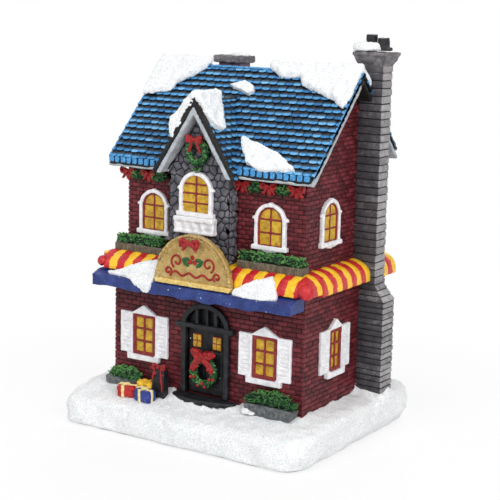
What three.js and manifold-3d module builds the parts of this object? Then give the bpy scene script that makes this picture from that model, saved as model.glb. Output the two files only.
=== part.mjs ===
// A painted resin village shop with a light inside, built as separate castings.
// Units are millimetres, +Z is up and the front faces -Y.
// The house is drawn about its own middle, and the whole group is then moved so that the
// origin is the centre of the base's underside.

import * as THREE from 'three';
import { mergeVertices } from 'three/addons/utils/BufferGeometryUtils.js';
import Module from 'manifold-3d';

const wasm = await Module();
wasm.setup();

// Fits
const seatGap = 0.3; // between two castings that are glued together
const slideGap = 0.3; // between the switch or cover and what guides it
const throughCut = 60; // how far a cutter reaches past what it cuts

// Snow base
const leftMargin = 11.5;
const rightMargin = 10;
const frontMargin = 15.5;
const rearMargin = 10;
const groundLevel = 12.5;
const frontDip = 0.26; // the share of the ground's height that it loses at the front rim
const rightUndercut = 0.3; // the share of the right margin by which the foot of that side draws in
const cornerRadii = [9, 10, 9, 5]; // right front, right rear, left rear, left front
const baseWaviness = 0.012;

// Lower storey
const lowerWidth = 70;
const lowerDepth = 50;
const lowerFront = -23.5; // the front wall's outer face
const storeyTop = 50;
const wallThickness = 3;
const ledgeThickness = 4;
const ledgeWidth = 4;

// Upper storey and main roof
const upperSideInset = 2.5;
const upperFrontInset = 3.35;
const upperRearInset = 2.5;
const ridgeHeight = 114;
const ridgeShift = 1.4; // the ridge lies behind the middle of the upper storey
const roofPitch = THREE.MathUtils.degToRad(45.85);
const frontEave = 4.5;
const rearEave = 3.7;
const verge = 5.1;
const tileThickness = 1.2;
const tileThinEdge = 0.5;
const deckThickness = 1;
const courseCount = 17;

// Dormer
const dormerX = -2.5;
const dormerHalfWidth = 11;
const dormerFrontProud = 4.3;
const dormerRidgeHeight = 105.2;
const dormerPitch = THREE.MathUtils.degToRad(57);
const dormerEaveHeight = 82.2;
const dormerVerge = 4;
const dormerTileThickness = 0.8;
const bargeThickness = 1.3;
const dormerRoomDepth = 14; // how far the dormer runs back over the main roof

// Chimneys
const chimneyLowerWidth = 8.5;
const chimneyLowerDepth = 7;
const chimneyUpperOuter = 5.5; // from the lower wall to the upper shaft's outer face
const chimneyUpperDepth = 5.7;
const chimneyY = 9.5; // front face
const chimneyShoulderBottom = 43.2;
const chimneyShoulderTop = 48.5;
const chimneyBelowRidge = 1;
const capOverhang = 2;
const capHeight = 6.6;
const potRadius = 1.8;
const potHeight = 5.1;
const rearChimneyX = -13.4;
const rearChimneyWidth = 8;
const rearChimneyDepth = 5.3;
const rearChimneyBehindRidge = 3.7;
const rearChimneyAboveRidge = 1;
const rearCapHeight = 1.6;
const rearCapOverhang = 1.2;

// Awnings, fascia beam and sign
const awningLip = 1;
const awningRise = 5.8;
const sideAwningRun = 6.5;
const frontAwningRun = 9.35;
const sideAwningDrop = 0.8;
const cornerBallRadius = 2.9;
const beamHeight = 4.9;
const beamDepth = 8.7;
const beamBevel = 1.4;
const beamBevelDepth = 3.7;
const beamEndLeft = 2.7;
const beamEndRight = 0.3;
const signX = 0.4;
const signRadius = 13.9;
const signThickness = 1.6;
const signRimWidth = 1.6;
const signRimProud = 0.4;
const signLedge = 1.5;

// Windows
const plugDepth = 1.5; // how far a window insert reaches into its wall
const sashProud = 0.9;
const paneRecess = 0.2;
const sashWidth = 0.8;
const muntinWidth = 0.7;
const casingWidth = 1.7;
const casingProud = 1.6;
const keystoneRise = 0.7; // above the casing's crown
const windowLip = 0.4; // what the casing covers of the sash
const upperWindow = { width: 8.7, sill: 12.6, spring: 20.2, rows: 3 };
const upperSideWindow = { width: 8.5, sill: 13.5, spring: 21.3, rows: 3 };
const dormerWindow = { width: 9.8, sill: 20.8, spring: 27.4, rows: 4 };
const lowerWindow = { width: 8.7, sill: 10.1, height: 13.3, shutter: 4.8 };
const lowerSideWindow = { width: 7, sill: 11.2, height: 13.3, shutter: 5.3 };
const louvreCount = 8;
const upperWindowX = [-22.3, 20.8];
const upperSideWindowY = -6.7;
const lowerWindowX = [-23.2, 22];
const lowerSideWindowY = -5.8;
const archSteps = 12;

// Entrance
const doorX = 0.6;
const doorHalfWidth = 7.6;
const doorFrameWidth = 1.5;
const doorSpring = 23.2; // above the ground, as the next three
const doorArchRise = 5.6;
const doorSill = 1.1;
const doorPaneSill = 16.1;
const doorPaneSize = [3.1, 4.1];
const doorThickness = 1.3;
const crossbarHalfWidth = 10.6;
const stepHeight = 0.9;
const stepReach = 5.6;

// Wreaths, garlands, boxes and what stands in the snow
const doorWreath = { radius: 3.8, tube: 1.4, height: 8.8 };
const dormerWreath = { radius: 2.9, tube: 1.1, clearance: 0.4 }; // clearance: to the keystone
const boxHeight = 2.3;
const boxDepth = 4.1;
const boxBaseHeight = 5.3;
const boxGreensHeight = 3.6;
const snowThickness = 1.3;

// Light unit in the underside
const unitWidth = 44;
const unitDepth = 30;
const unitTop = 8;
const unitRecess = 1.2;
const ledX = 14;
const ledRadius = 2.5;
const ledTop = 16.5;
const cellInset = 14; // from the unit's left end to the middle of the cell
const cellRadius = 10;
const cellThickness = 3.2;
const coverThickness = 2;
const coverLength = 30;
const coverWidth = 23;
const screwHeadRadius = 2;
const screwShankRadius = 1.1;
const screwLength = 5.6;
const switchTravel = 2.5;
const switchY = -9.5;
const knobSize = [3, 2.4];
const sliderSize = [5.5, 4.4];

// Places that follow from the sizes above
const lowerRear = lowerFront + lowerDepth;
const lowerSide = lowerWidth / 2;
const upperFront = lowerFront + upperFrontInset;
const upperRear = lowerRear - upperRearInset;
const upperSide = lowerSide - upperSideInset;
const ridgeY = (upperFront + upperRear) / 2 + ridgeShift;
const eaveFront = upperFront - frontEave;
const eaveRear = upperRear + rearEave;
const roofSide = upperSide + verge;
const dormerFront = upperFront - dormerFrontProud;
const beamFront = lowerFront - seatGap - beamDepth;
const chimneyUpperSide = lowerSide + chimneyUpperOuter;
const chimneyTop = ridgeHeight - chimneyBelowRidge;
const rearChimneyTop = ridgeHeight + rearChimneyAboveRidge;
const chimneyUpperRear = chimneyY + chimneyUpperDepth;
const houseWallBottom = groundLevel + seatGap;
const cellX = -unitWidth / 2 + cellInset;
const bedLevel = groundLevel * 0.55; // inside the snow, from where bedded pieces are drawn

const finishes = {
  snow: { color: 0xf3f5f8, roughness: 0.85 },
  brick: { color: 0x6a1c22, roughness: 0.6 },
  tile: { color: 0x2b77b8, roughness: 0.5 },
  paleBoard: { color: 0xb5b7b9, roughness: 0.6 },
  stone: { color: 0x6b6a70, roughness: 0.7 },
  black: { color: 0x25272b, roughness: 0.5 },
  stripe: { color: 0xf2b81f, roughness: 0.45 },
  beam: { color: 0x27439a, roughness: 0.4 },
  gold: { color: 0xb4924a, roughness: 0.4, metalness: 0.3 },
  red: { color: 0xb51a20, roughness: 0.4 },
  green: { color: 0x1f6b36, roughness: 0.6 },
  white: { color: 0xf1eff0, roughness: 0.5 },
  box: { color: 0x7b7468, roughness: 0.7 },
  yellow: { color: 0xe6b422, roughness: 0.45 },
  blue: { color: 0x1f2f6e, roughness: 0.45 },
  plastic: { color: 0x1c1c1e, roughness: 0.5 },
  lens: { color: 0xf6e6b0, roughness: 0.15 },
  steel: { color: 0xb9bcc0, roughness: 0.3, metalness: 1 },
};

const shop = new THREE.Group();

// Solids and meshes

function solidOf(geometry) {
  const bare = geometry.clone();
  bare.deleteAttribute('normal');
  bare.deleteAttribute('uv');
  const welded = mergeVertices(bare, 1e-4);
  const corners = welded.index.array;
  const triangles = [];
  for (let first = 0; first < corners.length; first += 3) {
    const [a, b, c] = corners.slice(first, first + 3);
    if (a !== b && b !== c && c !== a) triangles.push(a, b, c);
  }
  return new wasm.Manifold(new wasm.Mesh({
    numProp: 3,
    vertProperties: new Float32Array(welded.attributes.position.array),
    triVerts: new Uint32Array(triangles),
  }));
}

function geometryOf(solid) {
  const mesh = solid.getMesh();
  const geometry = new THREE.BufferGeometry();
  geometry.setAttribute('position', new THREE.BufferAttribute(mesh.vertProperties, 3));
  geometry.setIndex(new THREE.BufferAttribute(mesh.triVerts, 1));
  geometry.computeVertexNormals();
  return geometry;
}

function addPiece(name, solid, finish, placement = new THREE.Matrix4()) {
  const material = new THREE.MeshStandardMaterial({ metalness: 0, ...finishes[finish] });
  const mesh = new THREE.Mesh(geometryOf(solid), material);
  mesh.name = name;
  mesh.applyMatrix4(placement);
  shop.add(mesh);
}

function join(solids) {
  return solids.reduce((whole, next) => whole.add(next));
}

function cut(solid, cutters) {
  return cutters.reduce((left, next) => left.subtract(next), solid);
}

const acrossX = new THREE.Vector3(1, 0, 0);
const acrossY = new THREE.Vector3(0, 1, 0);
const upZ = new THREE.Vector3(0, 0, 1);

// An outline in the plane square to an axis, carried along that axis. Outlines are
// (y, z) points along x, (x, z) points along y and (x, y) points along z.
function prismGeometry(axis, points, from, to) {
  const outline = new THREE.Shape(points.map(([u, v]) => new THREE.Vector2(u, v)));
  const geometry = new THREE.ExtrudeGeometry(outline, { depth: to - from, bevelEnabled: false });
  const turn = new THREE.Matrix4();
  if (axis === 'x') turn.makeBasis(acrossY, upZ, acrossX).setPosition(from, 0, 0);
  if (axis === 'y') turn.makeBasis(acrossX, upZ, acrossY.clone().negate()).setPosition(0, to, 0);
  if (axis === 'z') turn.setPosition(0, 0, from);
  return geometry.applyMatrix4(turn);
}

function prism(axis, points, from, to) {
  return solidOf(prismGeometry(axis, points, from, to));
}

function block(x0, x1, y0, y1, z0, z1) {
  const geometry = new THREE.BoxGeometry(x1 - x0, y1 - y0, z1 - z0);
  return solidOf(geometry.translate((x0 + x1) / 2, (y0 + y1) / 2, (z0 + z1) / 2));
}

function upright(x, y, radius, z0, z1, sides = 20) {
  const geometry = new THREE.CylinderGeometry(radius, radius, z1 - z0, sides);
  geometry.rotateX(Math.PI / 2);
  return solidOf(geometry.translate(x, y, (z0 + z1) / 2));
}

function ball(x, y, z, radii, sides = 12) {
  const geometry = new THREE.SphereGeometry(1, sides, Math.ceil(sides * 0.6));
  geometry.rotateX(Math.PI / 2);
  geometry.scale(...radii);
  return solidOf(geometry.translate(x, y, z));
}

function tiltedBlock(x, y, z, size, angle) {
  const geometry = new THREE.BoxGeometry(...size);
  geometry.rotateY(angle);
  return solidOf(geometry.translate(x, y, z));
}

// Rings of equally many points, from the bottom up, closed by a flat face at each end.
function loft(rings) {
  const count = rings[0].length;
  const positions = rings.flat(2);
  const index = [];
  for (let ring = 0; ring < rings.length - 1; ring += 1) {
    for (let step = 0; step < count; step += 1) {
      const a = ring * count + step;
      const b = ring * count + ((step + 1) % count);
      index.push(a, b, b + count, a, b + count, a + count);
    }
  }
  const last = (rings.length - 1) * count;
  for (let step = 1; step < count - 1; step += 1) {
    index.push(0, step + 1, step);
    index.push(last, last + step, last + step + 1);
  }
  const geometry = new THREE.BufferGeometry();
  geometry.setAttribute('position', new THREE.Float32BufferAttribute(positions, 3));
  geometry.setIndex(index);
  return solidOf(geometry);
}

function rectangleRing(x0, x1, y0, y1, z) {
  return [[x0, y0, z], [x1, y0, z], [x1, y1, z], [x0, y1, z]];
}

function archOutline(half, bottom, spring, rise, centre = 0) {
  const points = [[centre - half, bottom], [centre + half, bottom]];
  for (let step = 0; step <= archSteps; step += 1) {
    const angle = (step / archSteps) * Math.PI;
    points.push([centre + half * Math.cos(angle), spring + rise * Math.sin(angle)]);
  }
  return points;
}

function rectangleOutline(half, bottom, top) {
  return [[-half, bottom], [half, bottom], [half, top], [-half, top]];
}

// A piece on a wall is drawn as on a front wall whose face is y = 0, then put in place.
function onWall(side, along, face) {
  const turns = { front: 0, right: Math.PI / 2, left: -Math.PI / 2 };
  const spots = { front: [along, -face, 0], right: [face, along, 0], left: [-face, along, 0] };
  return new THREE.Matrix4().makeRotationZ(turns[side]).setPosition(...spots[side]);
}

function wallOpening(outline, placement, depth = wallThickness) {
  const geometry = prismGeometry('y', outline, -throughCut / 10, depth);
  return solidOf(geometry.applyMatrix4(placement));
}

// Snow base

function perimeter(x0, x1, y0, y1, radii) {
  const cornerSteps = 5;
  const sideSteps = 8;
  const corners = [[x1, y0, -1, 1], [x1, y1, -1, -1], [x0, y1, 1, -1], [x0, y0, 1, 1]];
  const arcs = corners.map(([x, y, inwardX, inwardY], corner) => {
    const radius = radii[corner];
    const arc = [];
    for (let step = 0; step <= cornerSteps; step += 1) {
      const angle = (corner - 1 + step / cornerSteps) * (Math.PI / 2);
      arc.push([
        x + inwardX * radius + radius * Math.cos(angle),
        y + inwardY * radius + radius * Math.sin(angle),
      ]);
    }
    return arc;
  });
  return arcs.flatMap((arc, corner) => {
    const from = arc[cornerSteps];
    const to = arcs[(corner + 1) % 4][0];
    const side = [];
    for (let step = 1; step < sideSteps; step += 1) {
      const share = step / sideSteps;
      side.push([from[0] + (to[0] - from[0]) * share, from[1] + (to[1] - from[1]) * share]);
    }
    return [...arc, ...side];
  });
}

const baseLeft = -lowerSide - leftMargin;
const baseRight = lowerSide + rightMargin;
const baseFront = lowerFront - frontMargin;
const baseRear = lowerRear + rearMargin;

function snowBase() {
  const plateau = 0.5; // level ground outside the walls
  const outer = perimeter(baseLeft, baseRight, baseFront, baseRear, cornerRadii);
  const inner = perimeter(
    -lowerSide - plateau, lowerSide + plateau, lowerFront - plateau, lowerRear + plateau, [1, 1, 1, 1],
  );
  const waves = outer.map(([x, y]) => [
    x * (1 - baseWaviness * (0.5 + 0.5 * Math.sin(0.21 * y + 1))),
    y * (1 - baseWaviness * (0.5 + 0.5 * Math.sin(0.19 * x - 1))),
  ]);
  // Each ring lies this share of the way in to the walls, at this share of the ground's height.
  const slope = [
    [0.14, 0], [0.03, 0.08], [0, 0.36], [0.01, 0.62], [0.06, 0.83], [0.18, 0.94], [0.5, 0.98], [1, 1],
  ];
  const rings = slope.map(([inward, height]) => waves.map(([x, y], place) => {
    const undercut = rightUndercut * Math.max(0, x / baseRight) ** 2 * Math.max(0, 1 - 3 * height);
    const pointX = x + (inner[place][0] - x) * (inward + undercut);
    const pointY = y + (inner[place][1] - y) * inward;
    const forward = Math.max(0, (lowerFront - plateau - pointY) / frontMargin);
    return [pointX, pointY, groundLevel * height * (1 - frontDip * forward)];
  }));
  return loft(rings);
}

const snowSlab = snowBase();
const snowLine = snowSlab.translate([0, 0, seatGap]);
const unitPocketTop = unitTop + seatGap;
const unitPocket = block(
  -unitWidth / 2 - seatGap, unitWidth / 2 + seatGap,
  -unitDepth / 2 - seatGap, unitDepth / 2 + seatGap,
  -throughCut, unitPocketTop,
);
const ledPassage = upright(ledX, 0, ledRadius + 0.7, unitTop, groundLevel + throughCut);
addPiece('ground_slab', cut(snowSlab, [unitPocket, ledPassage]), 'snow');

// Walls

const lowerWindows = [
  ['lower_left_window', lowerWindow, onWall('front', lowerWindowX[0], -lowerFront)],
  ['lower_right_window', lowerWindow, onWall('front', lowerWindowX[1], -lowerFront)],
  ['lower_east_window', lowerSideWindow, onWall('right', lowerSideWindowY, lowerSide)],
  ['lower_west_window', lowerSideWindow, onWall('left', lowerSideWindowY, lowerSide)],
];
const upperWindows = [
  ['upper_left_window', upperWindow, onWall('front', upperWindowX[0], -upperFront)],
  ['upper_right_window', upperWindow, onWall('front', upperWindowX[1], -upperFront)],
  ['upper_east_window', upperSideWindow, onWall('right', upperSideWindowY, upperSide)],
  ['upper_west_window', upperSideWindow, onWall('left', upperSideWindowY, upperSide)],
];

function shutteredGlass(size, inset = 0) {
  const sill = groundLevel + size.sill;
  return rectangleOutline(size.width / 2 - inset, sill + inset, sill + size.height - inset);
}

function archedGlass(size, inset = 0) {
  const half = size.width / 2 - inset;
  return archOutline(half, storeyTop + size.sill + inset, storeyTop + size.spring, half);
}

function doorOutline(inset, centre = 0) {
  const bottom = groundLevel + doorSill + inset;
  return archOutline(doorHalfWidth - inset, bottom, groundLevel + doorSpring, doorArchRise - inset, centre);
}

const doorPlacement = onWall('front', doorX, -lowerFront);
const hatchInset = wallThickness + ledgeWidth;

function lowerWalls() {
  const shell = block(-lowerSide, lowerSide, lowerFront, lowerRear, houseWallBottom, storeyTop);
  const room = block(
    -lowerSide + wallThickness, lowerSide - wallThickness,
    lowerFront + wallThickness, lowerRear - wallThickness,
    -throughCut, storeyTop - ledgeThickness,
  );
  const hatch = block(
    -upperSide + hatchInset, upperSide - hatchInset,
    upperFront + hatchInset, upperRear - hatchInset,
    0, storeyTop + throughCut,
  );
  const openings = lowerWindows.map(([, size, place]) => wallOpening(shutteredGlass(size), place));
  const doorRecess = wallOpening(doorOutline(0), doorPlacement, doorThickness + seatGap);
  return cut(shell, [room, hatch, ...openings, doorRecess]);
}
addPiece('lower_walls', lowerWalls(), 'brick');

function roofSurface(y, depth = 0) {
  return ridgeHeight - Math.tan(roofPitch) * Math.abs(y - ridgeY) - depth / Math.cos(roofPitch);
}

const deckTopDepth = tileThickness + seatGap;
const deckUnderDepth = deckTopDepth + deckThickness;
const wallTopDepth = deckUnderDepth + seatGap;

function upperWalls() {
  const bottom = storeyTop + seatGap;
  const gable = [
    [upperFront, bottom], [upperRear, bottom], [upperRear, roofSurface(upperRear, wallTopDepth)],
    [ridgeY, roofSurface(ridgeY, wallTopDepth)], [upperFront, roofSurface(upperFront, wallTopDepth)],
  ];
  const room = block(
    -upperSide + wallThickness, upperSide - wallThickness,
    upperFront + wallThickness, upperRear - wallThickness,
    0, ridgeHeight + throughCut,
  );
  const openings = upperWindows.map(([, size, place]) => wallOpening(archedGlass(size), place));
  return cut(prism('x', gable, -upperSide, upperSide), [room, ...openings]);
}
addPiece('upper_walls', upperWalls(), 'brick');

// Window inserts: a moulded, painted frame with its panes, whose back plugs the wall's opening

function paneCutter(outlineOf, size, bottom, top) {
  const inset = windowLip + sashWidth;
  const glass = prism('y', outlineOf(size, inset), -throughCut, -paneRecess);
  const bars = [block(-muntinWidth / 2, muntinWidth / 2, -throughCut, 0, bottom, top)];
  const rows = size.rows ?? 3;
  for (let row = 1; row < rows; row += 1) {
    const z = bottom + ((top - bottom) * row) / rows;
    bars.push(block(-size.width, size.width, -throughCut, 0, z - muntinWidth / 2, z + muntinWidth / 2));
  }
  return cut(glass, bars);
}

function archedInsert(size) {
  const half = size.width / 2;
  const sill = storeyTop + size.sill;
  const spring = storeyTop + size.spring;
  const outerHalf = half + casingWidth;
  const crown = spring + outerHalf;
  const casing = prism('y', archOutline(outerHalf, sill - 0.4, spring, outerHalf), -casingProud, -seatGap);
  const plug = prism('y', archedGlass(size, seatGap), -sashProud, plugDepth);
  const apron = block(-outerHalf - 0.7, outerHalf + 0.7, -casingProud - 0.4, -seatGap, sill - 1.4, sill);
  const ears = block(-outerHalf - 0.9, outerHalf + 0.9, -casingProud, -seatGap, spring + 0.4, spring + 1.9);
  const keystone = block(-0.9, 0.9, -casingProud - 0.3, -seatGap, crown - casingWidth, crown + keystoneRise);
  const opening = prism('y', archedGlass(size, windowLip), -throughCut, -sashProud);
  const panes = paneCutter(archedGlass, size, sill + windowLip, spring + half - windowLip);
  return cut(join([casing, plug, apron, ears, keystone]), [opening, panes]);
}

function louvredShutter(x0, x1, bottom, top) {
  const shutter = block(x0, x1, -casingProud + 0.2, -seatGap, bottom, top);
  const pitch = (top - bottom - 1.4) / louvreCount;
  const grooves = [];
  for (let slat = 0; slat < louvreCount; slat += 1) {
    const z = bottom + 0.7 + pitch * slat;
    grooves.push(block(x0 + 0.8, x1 - 0.8, -throughCut, -1, z, z + pitch * 0.45));
  }
  return cut(shutter, grooves);
}

function shutteredInsert(size) {
  const half = size.width / 2;
  const sill = groundLevel + size.sill;
  const top = sill + size.height;
  const inner = half + 0.1;
  const outer = inner + size.shutter;
  const plug = prism('y', shutteredGlass(size, seatGap), -sashProud, plugDepth);
  const sash = block(-half - 0.3, half + 0.3, -sashProud - 0.2, -seatGap, sill - 0.3, top + 0.3);
  const gable = [[-half - 0.8, top], [half + 0.8, top], [0, top + 3.1]];
  const pediment = prism('y', gable, -casingProud, -seatGap);
  const ledge = block(-half - 2, half + 2, -casingProud - 0.4, -seatGap, sill - 2.1, sill);
  const shutters = [
    louvredShutter(-outer, -inner, sill + 0.1, top + 0.2),
    louvredShutter(inner, outer, sill + 0.1, top + 0.2),
  ];
  const panes = paneCutter(shutteredGlass, size, sill + windowLip, top - windowLip);
  return cut(join([plug, sash, pediment, ledge, ...shutters]), [panes]);
}

lowerWindows.forEach(([name, size, place]) => addPiece(name, shutteredInsert(size), 'white', place));
upperWindows.forEach(([name, size, place]) => addPiece(name, archedInsert(size), 'white', place));

// Main roof: a pale board deck that shows at the eaves and verges, and stepped tile courses on it

function slopeOutline(topDepth, underDepth) {
  return [
    [eaveFront, roofSurface(eaveFront, underDepth)], [ridgeY, roofSurface(ridgeY, underDepth)],
    [eaveRear, roofSurface(eaveRear, underDepth)], [eaveRear, roofSurface(eaveRear, topDepth)],
    [ridgeY, roofSurface(ridgeY, topDepth)], [eaveFront, roofSurface(eaveFront, topDepth)],
  ];
}

function tileOutline() {
  const points = [[eaveFront, roofSurface(eaveFront, tileThickness)]];
  const sunk = tileThickness - tileThinEdge;
  points.push([ridgeY, roofSurface(ridgeY, tileThickness)]);
  points.push([eaveRear, roofSurface(eaveRear, tileThickness)]);
  [[eaveRear, 1], [eaveFront, -1]].forEach(([eave, side]) => {
    const courses = Math.round((courseCount * Math.abs(eave - ridgeY)) / (ridgeY - eaveFront));
    const run = (ridgeY - eave) / courses;
    const steps = [];
    for (let course = 0; course < courses; course += 1) {
      const butt = eave + run * course;
      steps.push([butt, roofSurface(butt)]);
      steps.push([butt + run, roofSurface(butt + run, course === courses - 1 ? 0 : sunk)]);
    }
    if (side < 0) steps.pop();
    if (side < 0) steps.reverse();
    points.push(...steps);
  });
  return points;
}

const roofNotches = [
  block(
    dormerX - dormerHalfWidth - seatGap, dormerX + dormerHalfWidth + seatGap,
    eaveFront - throughCut, upperFront, 0, ridgeHeight,
  ),
  block(
    upperSide, roofSide + throughCut,
    chimneyY - seatGap, chimneyUpperRear + seatGap, 0, ridgeHeight + throughCut,
  ),
];
const deck = prism('x', slopeOutline(deckTopDepth, deckUnderDepth), -roofSide, roofSide);
const tiles = prism('x', tileOutline(), -roofSide, roofSide);
addPiece('roof_deck', cut(deck, roofNotches), 'paleBoard');
addPiece('roof_tiles', cut(tiles, roofNotches), 'tile');

// Everything below the main roof's surface, with room for the gap
const roofLine = prism('x', [
  [eaveFront - seatGap, 0], [eaveRear + throughCut, 0],
  [eaveRear + throughCut, ridgeHeight + throughCut], [ridgeY, roofSurface(ridgeY, -seatGap)],
  [eaveFront - seatGap, roofSurface(eaveFront - seatGap, -seatGap)],
], -throughCut, throughCut);

// Awnings: a convex skirt round the top of the lower storey, cut at the chimney

function skirt(run, side, bottom) {
  const points = [];
  for (let step = 0; step <= 6; step += 1) {
    const angle = (step / 6) * (Math.PI / 2);
    points.push([
      side * run * Math.cos(angle),
      bottom + awningLip + (awningRise - awningLip) * Math.sin(angle),
    ]);
  }
  return points;
}

const awningBottom = storeyTop + seatGap;
const awningInner = upperSide + seatGap;
const awningFrontEdge = upperFront - seatGap - frontAwningRun;
const awningSideEdge = awningInner + sideAwningRun;

function frontAwning() {
  const section = skirt(frontAwningRun, -1, awningBottom).map(([y, z]) => [y + upperFront - seatGap, z]);
  section.push([upperFront - seatGap, awningBottom], [awningFrontEdge, awningBottom]);
  const right = skirt(sideAwningRun, 1, awningBottom).map(([x, z]) => [x + awningInner, z]);
  const left = right.map(([x, z]) => [-x, z]).reverse();
  const hip = [...right, ...left, [-awningSideEdge, awningBottom], [awningSideEdge, awningBottom]];
  const slope = prism('x', section, -awningSideEdge, awningSideEdge);
  const hipped = slope.intersect(prism('y', hip, awningFrontEdge, upperFront - seatGap));
  const ends = [-1, 1].map((side) => ball(
    side * (awningSideEdge - 1.3), awningFrontEdge + 1.3, awningBottom + 1.6,
    [cornerBallRadius, cornerBallRadius, cornerBallRadius],
  ));
  const beamRoom = block(
    -lowerSide - beamEndLeft - seatGap, lowerSide + beamEndRight + seatGap,
    -throughCut, throughCut, 0, awningBottom,
  );
  return cut(join([hipped, ...ends]), [beamRoom]);
}

function sideAwning(side, from, to) {
  const section = skirt(sideAwningRun, 1, awningBottom).map(([x, z]) => [x + awningInner, z]);
  section.push([awningInner, awningBottom], [lowerSide + seatGap, awningBottom]);
  section.push([lowerSide + seatGap, awningBottom - sideAwningDrop]);
  section.push([awningSideEdge, awningBottom - sideAwningDrop]);
  return prism('y', section.map(([x, z]) => [side * x, z]), from, to);
}

const frontAwningSolid = frontAwning();
addPiece('front_awning', frontAwningSolid, 'stripe');
addPiece('left_awning', sideAwning(-1, upperFront, lowerRear), 'stripe');
addPiece('right_awning', sideAwning(1, upperFront, chimneyY - seatGap), 'stripe');
addPiece('right_rear_awning', sideAwning(1, chimneyUpperRear + seatGap, lowerRear), 'stripe');

const beamBottom = storeyTop - beamHeight;
const beamShoulder = storeyTop - beamBevel;
const beamBack = lowerFront - seatGap;
const beamOutline = [
  [beamBack, beamBottom], [beamFront, beamBottom], [beamFront, beamShoulder],
  [beamFront + beamBevelDepth, storeyTop], [beamBack, storeyTop],
];
const beam = prism('x', beamOutline, -lowerSide - beamEndLeft, lowerSide + beamEndRight);
addPiece('fascia_beam', beam, 'beam');

const awningLine = frontAwningSolid.translate([0, 0, seatGap]);
const beamLine = beam.translate([0, 0, seatGap]);

// Dormer

function dormerSurface(offset, depth = 0) {
  const along = Math.tan(dormerPitch) * Math.abs(offset);
  return dormerRidgeHeight - along - depth / Math.cos(dormerPitch);
}

const bargeTopDepth = dormerTileThickness + seatGap;
const bargeUnderDepth = bargeTopDepth + bargeThickness;
const dormerWallDepth = bargeUnderDepth + seatGap;
const dormerHalfSpan = (dormerRidgeHeight - dormerEaveHeight) / Math.tan(dormerPitch);

function dormerChevron(upperDepth, underDepth) {
  const foot = (depth) => dormerHalfSpan - depth / Math.sin(dormerPitch);
  return [
    [-foot(upperDepth), dormerEaveHeight], [-foot(underDepth), dormerEaveHeight],
    [0, dormerSurface(0, underDepth)], [foot(underDepth), dormerEaveHeight],
    [foot(upperDepth), dormerEaveHeight], [0, dormerSurface(0, upperDepth)],
  ].map(([x, z]) => [x + dormerX, z]);
}

const dormerWindowPlace = onWall('front', dormerX - 0.5, -dormerFront);

function dormerWalls() {
  const outline = [
    [-dormerHalfWidth, awningBottom + awningLip], [dormerHalfWidth, awningBottom + awningLip],
    [dormerHalfWidth, dormerSurface(dormerHalfWidth, dormerWallDepth)],
    [0, dormerSurface(0, dormerWallDepth)],
    [-dormerHalfWidth, dormerSurface(dormerHalfWidth, dormerWallDepth)],
  ].map(([x, z]) => [x + dormerX, z]);
  const mass = prism('y', outline, dormerFront, upperFront + dormerRoomDepth);
  const houseFace = upperFront - seatGap;
  const underRoof = prism('x', [
    [houseFace, 0], [ridgeY, 0], [ridgeY, roofSurface(ridgeY, -seatGap)],
    [houseFace, roofSurface(houseFace, -seatGap)],
  ], -throughCut, throughCut);
  const recess = wallOpening(archedGlass(dormerWindow), dormerWindowPlace, plugDepth + seatGap);
  return cut(mass, [underRoof, awningLine, recess]);
}
addPiece('dormer_walls', dormerWalls(), 'stone');

const dormerRoofFront = dormerFront - dormerVerge;
const bargeSolid = prism('y', dormerChevron(bargeTopDepth, bargeUnderDepth), dormerRoofFront, ridgeY);
const dormerTiles = prism('y', dormerChevron(0, dormerTileThickness), dormerRoofFront, ridgeY);
addPiece('dormer_barge_boards', cut(bargeSolid, [roofLine]), 'paleBoard');
addPiece('dormer_roof', cut(dormerTiles, [roofLine]), 'tile');
addPiece('dormer_window', archedInsert(dormerWindow), 'white', dormerWindowPlace);

function balcony() {
  const half = dormerWindow.width / 2 + casingWidth + 1.3;
  const top = storeyTop + dormerWindow.sill - 1.4 - seatGap;
  const bottom = top - 4.6;
  const tray = block(-half, half, -2.6, -seatGap, bottom, top);
  const rail = block(-half - 0.4, half + 0.4, -3, -seatGap, top - 1, top);
  const foot = block(-half - 0.3, half + 0.3, -2.9, -seatGap, bottom, bottom + 0.8);
  const slots = [];
  const bays = 7;
  const pitch = (2 * half) / bays;
  for (let bay = 0; bay < bays; bay += 1) {
    const x = -half + pitch * bay;
    slots.push(block(x + 0.5, x + pitch - 0.5, -throughCut, -2.2, bottom + 1, top - 1.2));
  }
  return join([cut(tray, slots), rail, foot]);
}
addPiece('dormer_balcony', balcony(), 'white', dormerWindowPlace);

// Chimneys

function mainChimney() {
  const inner = lowerSide + seatGap;
  const outer = inner + chimneyLowerWidth;
  const front = [
    [inner, bedLevel], [outer, bedLevel],
    [outer, chimneyShoulderBottom], [chimneyUpperSide, chimneyShoulderTop],
    [chimneyUpperSide, chimneyTop], [upperSide + seatGap, chimneyTop],
    [upperSide + seatGap, awningBottom], [inner, awningBottom],
  ];
  const side = [
    [chimneyY, 0], [chimneyY + chimneyLowerDepth, 0], [chimneyY + chimneyLowerDepth, chimneyShoulderBottom],
    [chimneyUpperRear, chimneyShoulderTop], [chimneyUpperRear, chimneyTop], [chimneyY, chimneyTop],
  ];
  const shaft = prism('y', front, chimneyY - 1, chimneyY + chimneyLowerDepth + 1);
  return cut(shaft.intersect(prism('x', side, 0, throughCut)), [snowLine]);
}
addPiece('main_chimney', mainChimney(), 'stone');

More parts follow.
